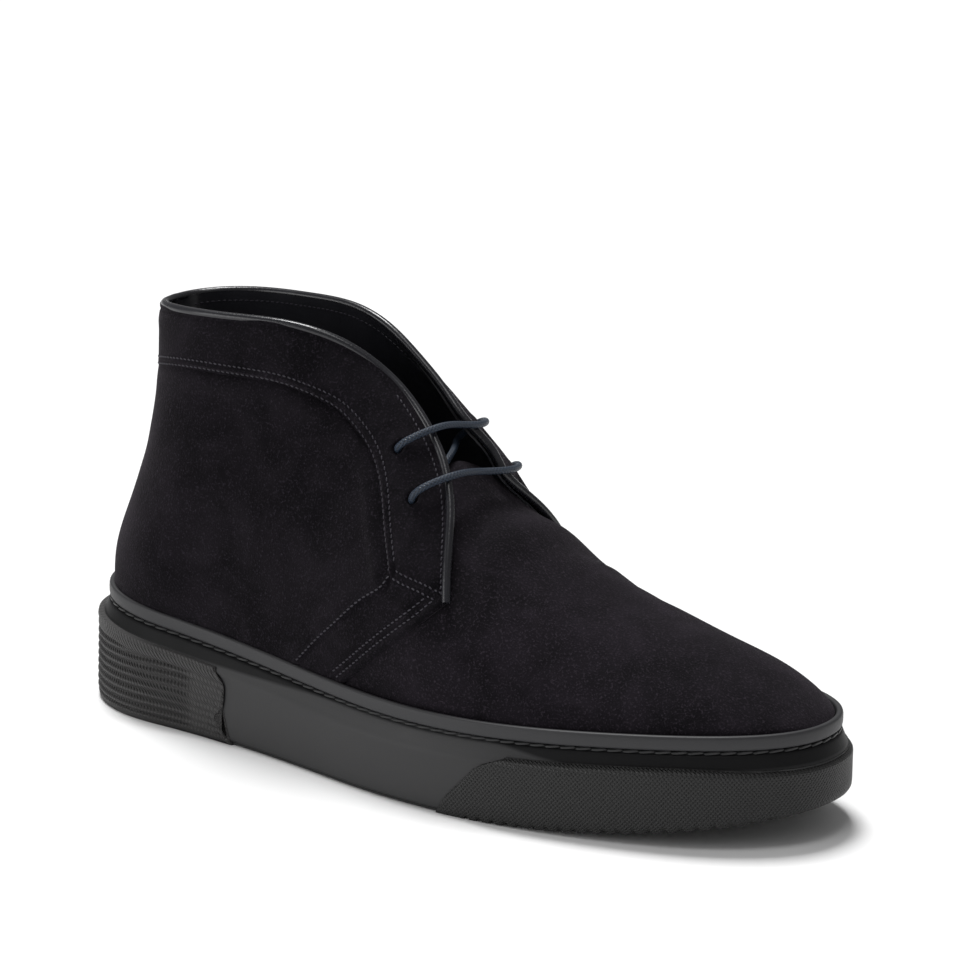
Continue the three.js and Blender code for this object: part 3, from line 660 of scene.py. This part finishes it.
def place_on_last(x, z, side, crown):
    """A point of the upper from its side-view place. Its distance from the centre line is
    the plan's half breadth times the section's crown and the toe's and heel's rounding,
    narrowed with height at the heel."""
    toe = rounding(SOLE_LENGTH - UPPER_INSET - x, TOE_END[0] - UPPER_INSET, TOE_END[1])
    heel = rounding(x - back_seam(z), HEEL_END[0] - UPPER_INSET, HEEL_END[1])
    waist = 1 - (1 - ease((x - 80) / 80)) * (1 - narrowing(z))
    half = (plan_half(x) - UPPER_INSET) * crown * toe * heel * waist
    low = ease((145 - z) / 90)
    middle = plan_centre(x) * low + crown_shift(x) * (1 - low)
    turn = THROAT_TURN * ease((x - 105) / 45) * ease((z - 55) / 40)
    return np.stack([x + turn * side * half, middle + side * half, z + 0 * half], -1)


def grid_normals(points, flip=1.0):
    """Unit normals of a grid: the cross product of its two directions at each point."""
    rows = np.gradient(points, axis=0)
    columns = np.gradient(points, axis=1)
    return unit(flip * np.cross(columns, rows) + 1e-9)


def ripples(x, y, sizes):
    """Slow unevenness of hand-lasted leather: a few sine waves of two coordinates, each
    with its wavelength, its direction in degrees, its phase and its height."""
    total = 0 * x
    for length, heading, phase, height in sizes:
        heading = np.radians(heading)
        way = x * np.cos(heading) + y * np.sin(heading)
        total = total + height * np.sin(2 * np.pi * way / length + phase)
    return total


def vamp_points(rows, columns):
    """The vamp's surface. Its rows turn from the outer feather line over the ridge to the
    inner one: across the boot the breadth goes as the sine of the turn, and the height as a
    power of its cosine. Along a row x goes as a sine from the rear edge to the toe."""
    past = 0.05  # the outermost rows go past the feather line, down behind the rand
    turn = np.linspace(-1 - past, 1 + past, rows)[:, None]
    way = np.sin(np.pi / 2 * np.linspace(0, 1, columns))[None]
    inner = np.clip(turn, -1, 1)
    over = np.cos(np.pi / 2 * inner)
    x = vamp_rear(over) + (TOE_X - vamp_rear(over)) * way
    sink = throat_sink(x)
    rise = np.clip(over, 0, 1) ** (2 / (crown_power(x) + THROAT_FULLNESS * sink))
    z = feather(x) + (ridge(x) - sink - feather(x)) * rise
    z = z - TUCK * (np.abs(turn) - np.abs(inner)) / past
    points = place_on_last(x, z, np.sign(inner), np.abs(np.sin(np.pi / 2 * inner)))
    return points, x, z, over


# Soft creases of the vamp across the ball: place along the boot, how far the crease
# leans back towards the outer side, half width, and depth.
VAMP_CREASES = [(203, 0.22, 4.5, 0.45), (214, 0.2, 5.5, 0.35), (191, 0.25, 4, 0.3)]


def vamp_relief(points, over):
    """Height added to the vamp: troughs across the ball that fade towards the feather."""
    x, y = points[..., 0], points[..., 1]
    total = ripples(x, y, [(43, 20, 0.4, 0.18), (29, -55, 1.9, 0.14)])
    for place, lean, half, depth in VAMP_CREASES:
        off = (x - place - lean * y - 0.004 * y**2) / half
        total = total - depth * np.exp(-off**2) * ease((over - 0.35) / 0.4)
    return total * ease((SOLE_LENGTH - 12 - x) / 20)


points, x, z, over = vamp_points(221, 181)
normals = grid_normals(points)
normals[:, -1] = (1, 0, 0)
outside = points + vamp_relief(points, over)[..., None] * normals
# The suede is 0.9 mm thick, and the padded tongue 2 mm.
thickness = 0.9 + 1.1 * ease((over - 0.8) / 0.12) * ease((176 - x) / 14)
inside = points - thickness[..., None] * normals
# The cut edge of the tongue is rolled over by a third of its thickness.
for column, part in ((0, 0.5), (1, 0.12)):
    outside[:, column] -= part * thickness[:, column, None] * normals[:, column]
    inside[:, column] += part * thickness[:, column, None] * normals[:, column]


def brushed_suede(name, dark, light, fleck):
    """Brushed calf suede, dyed through: no gloss, a nap of fine flecks (drawn 0.8 mm wide so
    that they show), and clouds 20 mm across where the nap was stroked the other way."""
    suede = new_material(name)
    place = add_node(suede, "ShaderNodeTexCoord", {}).outputs["Object"]
    stroked = add_node(suede, "ShaderNodeTexNoise", {
        "Vector": place, "Scale": 1 / 0.02, "Detail": 5.0, "Roughness": 0.62,
        "Distortion": 0.6,
    })
    cloud = add_node(suede, "ShaderNodeMapRange", {
        "Value": stroked.outputs["Fac"], "From Min": 0.38, "From Max": 0.7,
    })
    nap = add_node(suede, "ShaderNodeTexNoise", {
        "Vector": place, "Scale": 1 / 0.0008, "Detail": 3.0, "Roughness": 0.7,
    })
    flecks = add_node(suede, "ShaderNodeMapRange", {
        "Value": nap.outputs["Fac"], "From Min": 0.53, "From Max": 0.78,
    })
    tone = add_node(suede, "ShaderNodeMix", {
        "Factor": cloud.outputs["Result"], "A": linear(dark), "B": linear(light),
    }, data_type="RGBA")
    napped = add_node(suede, "ShaderNodeMix", {
        "Factor": flecks.outputs["Result"], "A": tone.outputs["Result"], "B": linear(fleck),
    }, data_type="RGBA")
    bump = add_node(suede, "ShaderNodeBump", {
        "Height": nap.outputs["Fac"], "Strength": 0.7, "Distance": 0.0005,
    })
    shader = add_node(suede, "ShaderNodeBsdfPrincipled", {
        "Base Color": napped.outputs["Result"], "Roughness": 0.95,
        "Specular IOR Level": 0.12, "Sheen Weight": 0.1, "Sheen Roughness": 0.45,
        "Sheen Tint": linear("#b8acb8"), "Normal": bump.outputs["Normal"],
    })
    return finish_material(suede, shader, dark)


def closed_sheet(outside, inside):
    """Outer rows, then inner rows in reverse, and the first outer row again."""
    return np.concatenate([outside, inside[::-1], outside[:1]])


# The vamp and the quarters are one suede: the vamp's copy has lighter colours, painted light on
# the upturned instep and toe.
vamp_suede = brushed_suede("brushed_vamp_suede", "#0d0b0f", "#1e1a20", "#3a343c")
vamp = closed_sheet(outside, inside)
rear_edge = vamp.shape[1] * np.arange(vamp.shape[0] - 1)
faces = np.concatenate([grid_faces(*vamp.shape[:2]), strips(rear_edge)])
make_piece("vamp", vamp, faces, vamp_suede, ["upper", "tongue"])

# ---- Quarters ----------------------------------------------------------------------
# Two suede quarters joined at the back seam. Each is sewn over the vamp with a double
# row, carries a padded collar panel and a facing with two punched eyelets, and is pieced
# again by a single seam down to the sole. Lines are drawn in the side view as (x, z).

QUARTER = 1.2  # how far the quarters' face lies out from the last
TOP_LINE = [
    (24.6, 150.3), (31, 151.2), (45, 152.5), (70, 153.8), (92, 153.8), (105, 151.2),
    (123.3, 141.6), (140, 128.1), (156.1, 112.4), (167.6, 95.1), (172.7, 80.9), (175, 71.5),
]
QUARTER_EDGE = [(130.5, 32.8), (141.4, 42.6), (154.5, 54.2), (166.2, 63.5), (175, 71.5)]
COLLAR_SEAM = [
    (24.6, 127.5), (33.2, 130.3), (52.6, 133.5), (66.1, 134), (78.9, 134.2), (91.5, 133.6),
    (103.9, 131), (114, 127.4), (121.1, 123), (128.5, 117.3), (134.7, 111), (139.3, 104.7),
    (143.4, 97.4), (147.4, 89.2), (150.6, 82), (151.9, 78.3),
]
SIDE_SEAM = [
    (151.9, 78.3), (150.6, 74.6), (143.8, 69.4), (135.7, 63.3), (127.6, 55.7), (120.6, 49.1),
    (113.1, 41.1), (106, 34),
]
CORNER_SEAM = [(152.5, 78), (157.7, 76.5), (163.9, 75.2), (169.4, 73.7), (174, 72.4)]
EYELETS = [(140.7, 116.4), (152.8, 101.7)]
EYELET_RADIUS = 2.5

# Rows of stitches: distances from the top line, the vamp edge, and the collar and corner
# seams. The leather is drawn in along each of them.
FACING_ROW = 1.9
EDGE_ROWS = (3.4, 5.9)
COLLAR_ROW = 2.4
CORNER_ROW = 1.4


def drawn(table, count=240):
    """Even points along the smooth curve through a table's points, by natural cubics of the
    distance along it."""
    table = np.array(table, float)
    length = np.concatenate([[0], np.cumsum(np.linalg.norm(np.diff(table, axis=0), axis=1))])
    fine = np.linspace(0, length[-1], 4 * count)
    line = np.stack([natural_spline(np.stack([length, c], 1))(fine) for c in table.T], -1)
    length = np.concatenate([[0], np.cumsum(np.linalg.norm(np.diff(line, axis=0), axis=1))])
    even = np.linspace(0, length[-1], count)
    return np.stack([np.interp(even, length, c) for c in line.T], -1)


top_line, quarter_edge, collar_seam, side_seam, corner_seam = (
    drawn(table) for table in (TOP_LINE, QUARTER_EDGE, COLLAR_SEAM, SIDE_SEAM, CORNER_SEAM)
)


def beside(line, distance):
    """The line moved to its left in the side view by a distance."""
    along = unit(np.gradient(line, axis=0))
    return line + distance * np.stack([-along[:, 1], along[:, 0]], -1)


def distance_from(line, x, z):
    """Distance of places from a line, positive on its left, and how far past its ends."""
    line = line[::3]
    along = unit(np.gradient(line, axis=0))
    place = np.stack([x.ravel(), z.ravel()], -1).astype(np.float32)
    gap = ((place[:, None] - line[None].astype(np.float32)) ** 2).sum(-1)
    nearest = gap.argmin(1)
    away = place - line[nearest]
    ahead = (away * along[nearest]).sum(1)
    left = away[:, 1] * along[nearest, 0] - away[:, 0] * along[nearest, 1]
    past = np.abs(ahead) * ((nearest == 0) | (nearest == len(line) - 1))
    return left.reshape(x.shape), past.reshape(x.shape)


def hill(distance, half):
    """A soft bank: 1 on the line, falling off as a bell curve of that half width."""
    return np.exp(-((distance / half) ** 2))


def quarter_places(rows, columns, tuck):
    """Side-view places of both quarters, as a patch between four curves: the back seam, the
    feather line, the vamp edge, and the top line. Its points are the two ruled blends of
    facing curves less the blend of the corners."""
    past = 0.045  # the lowest rows go past the feather line, down behind the rand
    turn = np.linspace(-1, 1, columns)[None]
    up = np.linspace(-past, 1, rows)[:, None]
    below = np.maximum(0, -up) / past
    up = np.maximum(0, up)
    along = from_seam(np.abs(turn))
    even = np.linspace(0, 1, len(top_line))
    start, end = UPPER_INSET, QUARTER_EDGE[0][0]
    bottom_x = start + (end - start) * along
    left_z = feather(start) + (TOP_LINE[0][1] - feather(start)) * up
    patch = []
    for axis, bottom, left, bottom_end in (
        (0, bottom_x, back_seam(left_z), end), (1, feather(bottom_x), left_z, feather(end)),
    ):
        top = np.interp(along, even, top_line[:, axis])
        right = np.interp(up, even, quarter_edge[:, axis])
        low_right, high_right = quarter_edge[0, axis], quarter_edge[-1, axis]
        edge_bottom = bottom + along * (low_right - bottom_end)
        patch.append(
            (1 - up) * edge_bottom + up * top + (1 - along) * left + along * right
            - (1 - up) * ((1 - along) * left[:1] + along * low_right)
            - up * ((1 - along) * left[-1:] + along * high_right)
        )
    x, z = patch
    return x, z - tuck * below, np.sign(turn) + 0 * x


# How far the inner side's section is pulled down along the throat.
inner_sink = natural_spline([
    (120, 0), (133, 1), (142, 2.8), (150, 3.8), (157, 4.9), (162, 7.4), (168, 9), (175, 8),
    (185, 3), (195, 0),
])


def crown_at(x, z, side):
    """The section's breadth at a height: the root of one less a power of the height's share.
    The inner side's section is pulled down towards the throat by its own sink."""
    sink = inner_sink(x) * (side > 0)
    share = np.clip((z - feather(x)) / (ridge(x) - sink - feather(x)), 0, 1)
    return np.sqrt(1 - share ** (crown_power(x) + THROAT_FULLNESS * sink))


# Banks and troughs beside the quarters' lines: distance from the line, half width, height.
COLLAR_BANKS = [(-0.7, 1, -0.9), (0.9, 0.8, 0.45), (COLLAR_ROW, 0.8, -0.4), (-5.5, 3.2, 1)]
SIDE_BANKS = [(0, 0.8, 0.45), (1.7, 1, -0.4), (-3.5, 2.5, 0.25)]
CORNER_BANKS = [(CORNER_ROW, 0.7, -0.3), (-CORNER_ROW, 0.7, -0.3)]
EDGE_BANKS = [(row, 0.65, -0.3) for row in EDGE_ROWS] + [(1.3, 1.2, 0.25), (0, 0.55, -0.6)]
FACING_BANKS = [(-FACING_ROW, 0.6, -0.4), (-6, 2.5, 0.3)]

# Soft creases of the quarters: the crease's middle, its heading in degrees, half length,
# half width and depth. The first two are the ankle's bend, the others lie over the heel.
QUARTER_CREASES = [
    ((118, 92), 62, 24, 6, 0.5), ((101, 84), 70, 20, 7, 0.35), ((44, 84), 8, 17, 4.5, 0.3),
    ((38, 97), 12, 14, 5, 0.25), ((70, 62), -12, 26, 9, 0.3),
]


def banks(distance, rows):
    """The sum of soft banks beside a line, at distances from it."""
    return sum(height * hill(distance - place, half) for place, half, height in rows)


def quarter_relief(x, z):
    """Height added to the quarters: the collar panel is padded and sewn down, the seams lie
    in troughs between soft rolls, the eyelets are punched, and creases are pressed in."""
    collar, past_collar = distance_from(collar_seam, x, z)
    side, past_side = distance_from(side_seam, x, z)
    corner, past_corner = distance_from(corner_seam, x, z)
    edge, _ = distance_from(quarter_edge, x, z)
    facing, _ = distance_from(top_line, x, z)
    total = ripples(x, z, [(47, 75, 0.3, 0.16), (61, 15, 2.0, 0.18), (23, 40, 1.2, 0.07)])
    padding = 0.8 * ease((collar + 1.2) / 1.8) * ease((18 - collar) / 10)
    flatter_at_back = 0.15 + 0.85 * ease((x - 27) / 34)
    near_collar = hill(past_collar, 4) * flatter_at_back
    total = total + near_collar * (padding + banks(collar, COLLAR_BANKS))
    total = total + hill(past_side, 2.5) * banks(side, SIDE_BANKS)
    total = total + hill(past_corner, 2.5) * banks(corner, CORNER_BANKS)
    total = total + banks(edge, EDGE_BANKS) + banks(facing, FACING_BANKS)
    for hole_x, hole_z in EYELETS:
        away = np.hypot(x - hole_x, z - hole_z)
        punched = ease((EYELET_RADIUS - away) / 1.5)
        total = total - 2.0 * punched + 0.3 * hill(away - EYELET_RADIUS - 0.6, 0.9)
    for (middle_x, middle_z), heading, length, width, depth in QUARTER_CREASES:
        heading = np.radians(heading)
        ahead = (x - middle_x) * np.cos(heading) + (z - middle_z) * np.sin(heading)
        aside = (z - middle_z) * np.cos(heading) - (x - middle_x) * np.sin(heading)
        fold = hill(aside, width) - 0.5 * hill(aside - 2 * width, width)
        total = total - depth * hill(ahead, length) * fold
    return total


def quarters_on_last(rows, columns, tuck):
    """Points and normals of both quarters, and their side-view places. The normals on the
    back seam, in the middle column, have no sideways part."""
    x, z, side = quarter_places(rows, columns, tuck)
    points = place_on_last(x, z, side, crown_at(x, z, side))
    normals = grid_normals(points, -1.0)
    normals[:, columns // 2] = unit(normals[:, columns // 2] * (1, 0, 1))
    return points, normals, x, z


points, normals, x, z = quarters_on_last(119, 391, TUCK)
relief = quarter_relief(x, z)
back_seam_trough = 0.45 * hill(points[:, :, 1], 0.7) * (points[:, :, 0] < 60)
outside = points + (QUARTER + relief - back_seam_trough)[..., None] * normals
inside = points + (0.1 + np.minimum(0, relief))[..., None] * normals
# The quarters' copy of the suede has darker colours than the vamp's: painted shade on the boot's
# sides.
quarter_suede = brushed_suede("brushed_quarter_suede", "#040306", "#161318", "#302b33")
quarters = closed_sheet(outside, inside)
make_piece(
    "quarters", quarters, grid_faces(*quarters.shape[:2], ends="columns"), quarter_suede,
    ["upper"],
)

# ---- Lining and insole -------------------------------------------------------------
# Smooth black calf lines the quarters from the collar down to the insole, and covers the
# insole, a board 4 mm thick that rests on the floor of the cup.


def smooth_leather(name, colour, worn, roughness, grain_size):
    """Aniline calf with a closed grain: soft gloss, pores and fine wrinkles as small bumps."""
    leather = new_material(name)
    place = add_node(leather, "ShaderNodeTexCoord", {}).outputs["Object"]
    grain = add_node(leather, "ShaderNodeTexVoronoi", {
        "Vector": place, "Scale": 1 / grain_size,
    }, feature="SMOOTH_F1")
    wear = add_node(leather, "ShaderNodeTexNoise", {
        "Vector": place, "Scale": 1 / 0.012, "Detail": 4.0,
    })
    tone = add_node(leather, "ShaderNodeMix", {
        "Factor": wear.outputs["Fac"], "A": linear(colour), "B": linear(worn),
    }, data_type="RGBA")
    matt = add_node(leather, "ShaderNodeMapRange", {
        "Value": wear.outputs["Fac"], "To Min": roughness - 0.08, "To Max": roughness + 0.08,
    })
    bump = add_node(leather, "ShaderNodeBump", {
        "Height": grain.outputs["Distance"], "Strength": 0.4, "Distance": 0.0001,
    })
    shader = add_node(leather, "ShaderNodeBsdfPrincipled", {
        "Base Color": tone.outputs["Result"], "Roughness": matt.outputs["Result"],
        "Normal": bump.outputs["Normal"],
    })
    return finish_material(leather, shader, colour)


lining_leather = smooth_leather("smooth_lining_calf", "#202024", "#2e2e33", 0.32, 0.0012)
LINING_OUTSIDE, LINING_INSIDE = -1.1, -1.9  # its two faces, out from the last
points, normals, *_ = quarters_on_last(70, 241, 7.0)
lining = closed_sheet(points + LINING_OUTSIDE * normals, points + LINING_INSIDE * normals)
make_piece(
    "lining", lining, grid_faces(*lining.shape[:2], ends="columns"), lining_leather,
    ["upper"],
)
INSOLE_INSET = UPPER_INSET + 1.8 + 0.9  # clear of the upper's wall
insole_rows = corners_cut(sole_rows([
    (INSOLE_INSET, 1, -7.7), (INSOLE_INSET, 1, -7.2), (INSOLE_INSET, 1, -4.7),
    (INSOLE_INSET + 0.8, 1, -3.8), (INSOLE_INSET + 2, 1, -3.7), (INSOLE_INSET + 4, 1, -3.7),
]))
make_piece(
    "insole", insole_rows, grid_faces(*insole_rows.shape[:2], ends="rows"), lining_leather,
    ["insole"],
)

# ---- Piping ------------------------------------------------------------------------
# A strip of polished black leather, rolled round a cord and sewn along the top line and
# down both facings to the corner.

PIPING_RADIUS = 1.6
COLLAR_OUT, FACING_OUT = -0.3, 1.0  # the piping's centre, out from the last


def on_quarter(places, side, out):
    """Points and outward normals over side-view places, at a distance out from the last."""
    x, z = places[:, 0], places[:, 1]
    step = 0.2
    side = side + 0 * x

    def at(x, z):
        return place_on_last(x, z, side, crown_at(x, z, side))

    ahead = at(x + step, z) - at(x - step, z)
    rise = at(x, z + step) - at(x, z - step)
    normal = unit(np.cross(ahead, rise))
    normal = normal * np.where(normal[:, 1:2] * side[:, None] < 0, -1, 1)
    return at(x, z) + np.reshape(out, (-1, 1)) * normal, normal


def carried(section, line, normals):
    """A closed section carried along a line: at each point its first coordinate goes along
    the normal and its second across it."""
    along = unit(np.gradient(line, axis=0))
    across = unit(np.cross(along, normals))
    upright = np.cross(across, along)
    return (line[:, None] + section[None, :, :1] * upright[:, None]
            + section[None, :, 1:] * across[:, None])


def round_section(radius, sides):
    """A circle's points, with the first one repeated at the end."""
    angle = np.linspace(0, 2 * np.pi, sides + 1)
    return radius * np.stack([np.cos(angle), np.sin(angle)], -1)


piping_places = drawn(TOP_LINE, 330)[2:]
onto_facing = ease((piping_places[:, 0] - 120) / 35)
piping_out = COLLAR_OUT + (FACING_OUT - COLLAR_OUT) * onto_facing
outer_run, outer_normals = on_quarter(piping_places, -1.0, piping_out)
inner_run, inner_normals = on_quarter(piping_places, 1.0, piping_out)
back = np.array([[TOP_LINE[0][0] + 0.3, 0.0, TOP_LINE[0][1]]])
piping_line = np.concatenate([outer_run[::-1], back, inner_run])
piping_normals = np.concatenate([outer_normals[::-1], [[-1.0, 0.0, 0.1]], inner_normals])
piping_leather = smooth_leather("polished_piping_calf", "#17171b", "#232328", 0.27, 0.0009)
piping = carried(round_section(PIPING_RADIUS, 14), piping_line, piping_normals)
make_piece(
    "piping", piping, grid_faces(*piping.shape[:2], ends="rows"), piping_leather,
    ["piping"],
)

# ---- Seam stitching ----------------------------------------------------------------
# Black polyester thread: a row behind the facing's piping, double rows at the vamp edge,
# the collar panel and the corner, one row on the side seam, and one inside the collar.

PITCH, STITCH, THREAD = 2.1, 1.45, 0.3  # from one to the next, length, and radius
SLANT = 0.22  # each stitch is turned this much from its row
PROUD = 0.08  # the thread's middle lies this far above the leather
LINING_ROW = 3.4  # from the top line

ROWS = [
    beside(top_line, -FACING_ROW)[142:-3], beside(quarter_edge, EDGE_ROWS[0])[6:-14],
    beside(quarter_edge, EDGE_ROWS[1])[6:-22], collar_seam,
    beside(collar_seam, COLLAR_ROW)[4:-4], beside(corner_seam, CORNER_ROW)[10:-14],
    beside(corner_seam, -CORNER_ROW)[10:-30], side_seam[4:-22],
]


def sewn_rows(line, height, facing=1.0, slant=0.0):
    """Stitches along a side-view line, on both sides of the boot, at a height out from the
    last. Each lies along the line and faces outwards, or inwards where facing is -1."""
    rows = []
    for side in (-1.0, 1.0):
        sewn, outwards = on_quarter(line, side, height)
        centres, along = spaced(sewn, PITCH)
        nearest = ((centres[:, None] - sewn[None]) ** 2).sum(-1).argmin(1)
        faced = facing * outwards[nearest]
        rows.append(stitch_corners(centres, along, faced, STITCH, THREAD, slant * side))
    return np.concatenate(rows)


seam_thread = waxed_thread("seam_thread", "#121017", "#37333f", 0.5)
seam_stitches = np.concatenate([
    sewn_rows(line, QUARTER + PROUD + quarter_relief(line[:, 0], line[:, 1]), slant=SLANT)
    for line in ROWS
])
make_stitches("seam_stitches", seam_stitches, seam_thread, ["upper"])
lining_stitches = sewn_rows(beside(top_line, -LINING_ROW)[2:-30], LINING_INSIDE - 0.05, -1.0)
make_stitches("lining_stitches", lining_stitches, seam_thread, ["upper"])

# ---- Lace --------------------------------------------------------------------------
# One round braided lace, waxed navy. It makes a bar over the lower eyelets, crosses
# under the facings, and makes a bar over the upper eyelets. Its ends stop inside.

LACE_RADIUS = 1.25
LACE_INSIDE = 5.4  # how far it goes in from the last at an eyelet
LACE_OUTSIDE = QUARTER + 1.35
LACE_OVER = FACING_OUT + PIPING_RADIUS + LACE_RADIUS + 0.2  # where it crosses the piping
BAR_LIFT = 0.6  # of the bar's middle
CROSSINGS = [((149.6, 118.6), (147.8, 121.4)), ((161, 104.2), (159.4, 107.2))]  # inner, outer
DIAGONAL = [(0.12, 1.5), (0.5, 6.5), (0.85, 1.5)]  # part of the way, and how far it is lifted
LIFT_WAY = np.array([0.6, 0, 0.8])
INSTEP_NORMAL = [0.31, 0.05, 0.95]  # keeps the lace's section from turning


def lace_bar(eyelet, crossing):
    """The bar's points from the inner side to the outer one: inside the eyelet, out of it,
    over the piping, and the same back on the other side."""

    def through(place, side, out):
        return on_quarter(np.array([place]), side, out)[0][0]

    inner, outer = (
        [through(eyelet, side, -LACE_INSIDE), through(eyelet, side, LACE_OUTSIDE),
         through(place, side, LACE_OVER)] for side, place in zip((1.0, -1.0), crossing)
    )
    middle = (inner[-1] + outer[-1]) / 2 + (0, 0, BAR_LIFT)
    return [*inner, middle, *outer[::-1]]


upper_bar, lower_bar = (lace_bar(*pair) for pair in zip(EYELETS, CROSSINGS))
diagonal = [
    (1 - part) * lower_bar[-1] + part * upper_bar[0] + lift * LIFT_WAY
    for part, lift in DIAGONAL
]
lace_line = drawn([*lower_bar, *diagonal, *upper_bar], 420)
lace_length = np.linalg.norm(np.diff(lace_line, axis=0), axis=1).sum()
lace = carried(
    round_section(LACE_RADIUS, 16), lace_line, np.broadcast_to(INSTEP_NORMAL, lace_line.shape)
)
lace_uv = np.stack(np.broadcast_arrays(
    np.linspace(0, lace_length, lace.shape[0])[:, None],
    np.linspace(0, 1, lace.shape[1])[None],
), -1)


STRAND_PITCH, STRANDS_AROUND = 1.4, 6


def braided_lace(name, colour, light):
    """Waxed cotton braid: two sets of strands cross each other every 0.7 mm, dark navy in the
    gaps and paler on the strands' crests, painted shade and light on the braid. Each strand
    is a sine of the way along the lace plus or less the way round it, on the lace's own map."""
    cord = new_material(name)
    place = add_node(cord, "ShaderNodeUVMap", {}, uv_map="UVMap").outputs["UV"]
    parts = add_node(cord, "ShaderNodeSeparateXYZ", {"Vector": place})
    along = add_node(cord, "ShaderNodeMath", {
        0: parts.outputs["X"], 1: 2 * np.pi / STRAND_PITCH,
    }, operation="MULTIPLY")
    strands = []
    for lean in (1.0, -1.0):
        phase = add_node(cord, "ShaderNodeMath", {
            0: parts.outputs["Y"], 1: lean * 2 * np.pi * STRANDS_AROUND,
            2: along.outputs["Value"],
        }, operation="MULTIPLY_ADD")
        strands.append(add_node(cord, "ShaderNodeMath", {
            0: phase.outputs["Value"],
        }, operation="SINE"))
    over = add_node(cord, "ShaderNodeMath", {
        0: strands[0].outputs["Value"], 1: strands[1].outputs["Value"],
    }, operation="MAXIMUM")
    # Painted shade and light of the braid: darker in the gaps, lighter on the crests.
    painted_braid_shade = add_node(cord, "ShaderNodeMapRange", {
        "Value": over.outputs["Value"], "From Min": 0.1, "From Max": 1.0,
    })
    tone = add_node(cord, "ShaderNodeMix", {
        "Factor": painted_braid_shade.outputs["Result"], "A": linear(colour), "B": linear(light),
    }, data_type="RGBA")
    bump = add_node(cord, "ShaderNodeBump", {
        "Height": over.outputs["Value"], "Strength": 0.8, "Distance": 0.00012,
    })
    shader = add_node(cord, "ShaderNodeBsdfPrincipled", {
        "Base Color": tone.outputs["Result"], "Roughness": 0.48,
        "Normal": bump.outputs["Normal"],
    })
    return finish_material(cord, shader, colour)


lace_cord = braided_lace("waxed_braided_lace", "#111a26", "#2a384a")
make_piece(
    "lace", lace, grid_faces(*lace.shape[:2], ends="rows"), lace_cord, ["lace"],
    uv=lace_uv,
)

# ---- Floor, light and camera -------------------------------------------------------
# A white matt floor, one broad light from high up behind the heel, on the inner side,
# that throws the soft shadow forwards, and two large soft panels.


def plain_floor():
    """White matt studio floor, without gloss."""
    floor = new_material("white_studio_floor")
    place = add_node(floor, "ShaderNodeTexCoord", {}).outputs["Object"]
    cloud = add_node(floor, "ShaderNodeTexNoise", {"Vector": place, "Scale": 3.0})
    tone = add_node(floor, "ShaderNodeMix", {
        "Factor": cloud.outputs["Fac"], "A": linear("#fafafa"), "B": linear("#fdfdfd"),
    }, data_type="RGBA")
    shader = add_node(floor, "ShaderNodeBsdfPrincipled", {
        "Base Color": tone.outputs["Result"], "Roughness": 1.0, "Specular IOR Level": 0.0,
    })
    return finish_material(floor, shader, "#fafafa")


FLOOR_SIZE = 30.0  # metres
floor_mesh = bpy.data.meshes.new("floor")
corner = FLOOR_SIZE / 2
floor_mesh.from_pydata(
    [(-corner, -corner, 0), (corner, -corner, 0), (corner, corner, 0), (-corner, corner, 0)],
    [], [(0, 1, 2, 3)],
)
floor_mesh.materials.append(plain_floor())
floor = bpy.data.objects.new("floor", floor_mesh)
bpy.context.scene.collection.objects.link(floor)

world = bpy.data.worlds.new("studio")
world.use_nodes = True
world.node_tree.nodes["Background"].inputs["Color"].default_value = (1, 1, 1, 1)
world.node_tree.nodes["Background"].inputs["Strength"].default_value = 0.22
bpy.context.scene.world = world
bpy.context.scene.view_settings.view_transform = "Standard"


def direction(azimuth, elevation):
    """The way from the boot towards an azimuth and an elevation in degrees; azimuth 0 is
    the outer side and 90 is the toe."""
    a, e = np.radians(azimuth), np.radians(elevation)
    return np.array([np.sin(a) * np.cos(e), -np.cos(a) * np.cos(e), np.sin(e)])


def aimed(name, data, back, target, distance, roll=0.0):
    """Places a light or camera a distance back from the target, looking at it, with its
    right hand level apart from the roll in degrees."""
    right = unit(np.cross([0.0, 0.0, 1.0], back))
    over = np.cross(back, right)
    angle = np.radians(roll)
    across = np.cos(angle) * right + np.sin(angle) * over
    upright = np.cos(angle) * over - np.sin(angle) * right
    thing = bpy.data.objects.new(name, data)
    pose = np.eye(4)
    pose[:3] = np.stack([across, upright, back, target + distance * back], 1)
    thing.matrix_world = Matrix(pose.tolist())
    bpy.context.scene.collection.objects.link(thing)
    return thing


middle = np.array([0.0, 0.0, 0.07])
sun = bpy.data.lights.new("high_sun", "SUN")
sun.energy = 2.7
sun.angle = np.radians(20)
aimed("high_sun", sun, direction(-124, 69), middle, 3.0)
for name, azimuth, elevation, power, size, distance in (
    ("left_panel", -38, 12, 12.0, 1.2, 2.2),
    ("overhead_panel", 25, 74, 7.0, 0.8, 2.2),
):
    panel = bpy.data.lights.new(name, "AREA")
    panel.energy = power
    panel.size = size
    aimed(name, panel, direction(azimuth, elevation), middle, distance)

CAMERA_FROM = direction(32.252, 15.691)
CAMERA_DISTANCE, CAMERA_ROLL = 1.6013, 1.467  # metres, degrees
camera_data = bpy.data.cameras.new("camera")
camera_data.sensor_width = 36.0
camera_data.lens = 169.71
camera_data.clip_start, camera_data.clip_end = 0.1, 60.0
looked_at = (np.array([159.39, 0.0, 104.26]) - ORIGIN) / 1000
camera = aimed("camera", camera_data, CAMERA_FROM, looked_at, CAMERA_DISTANCE, CAMERA_ROLL)
bpy.context.scene.camera = camera
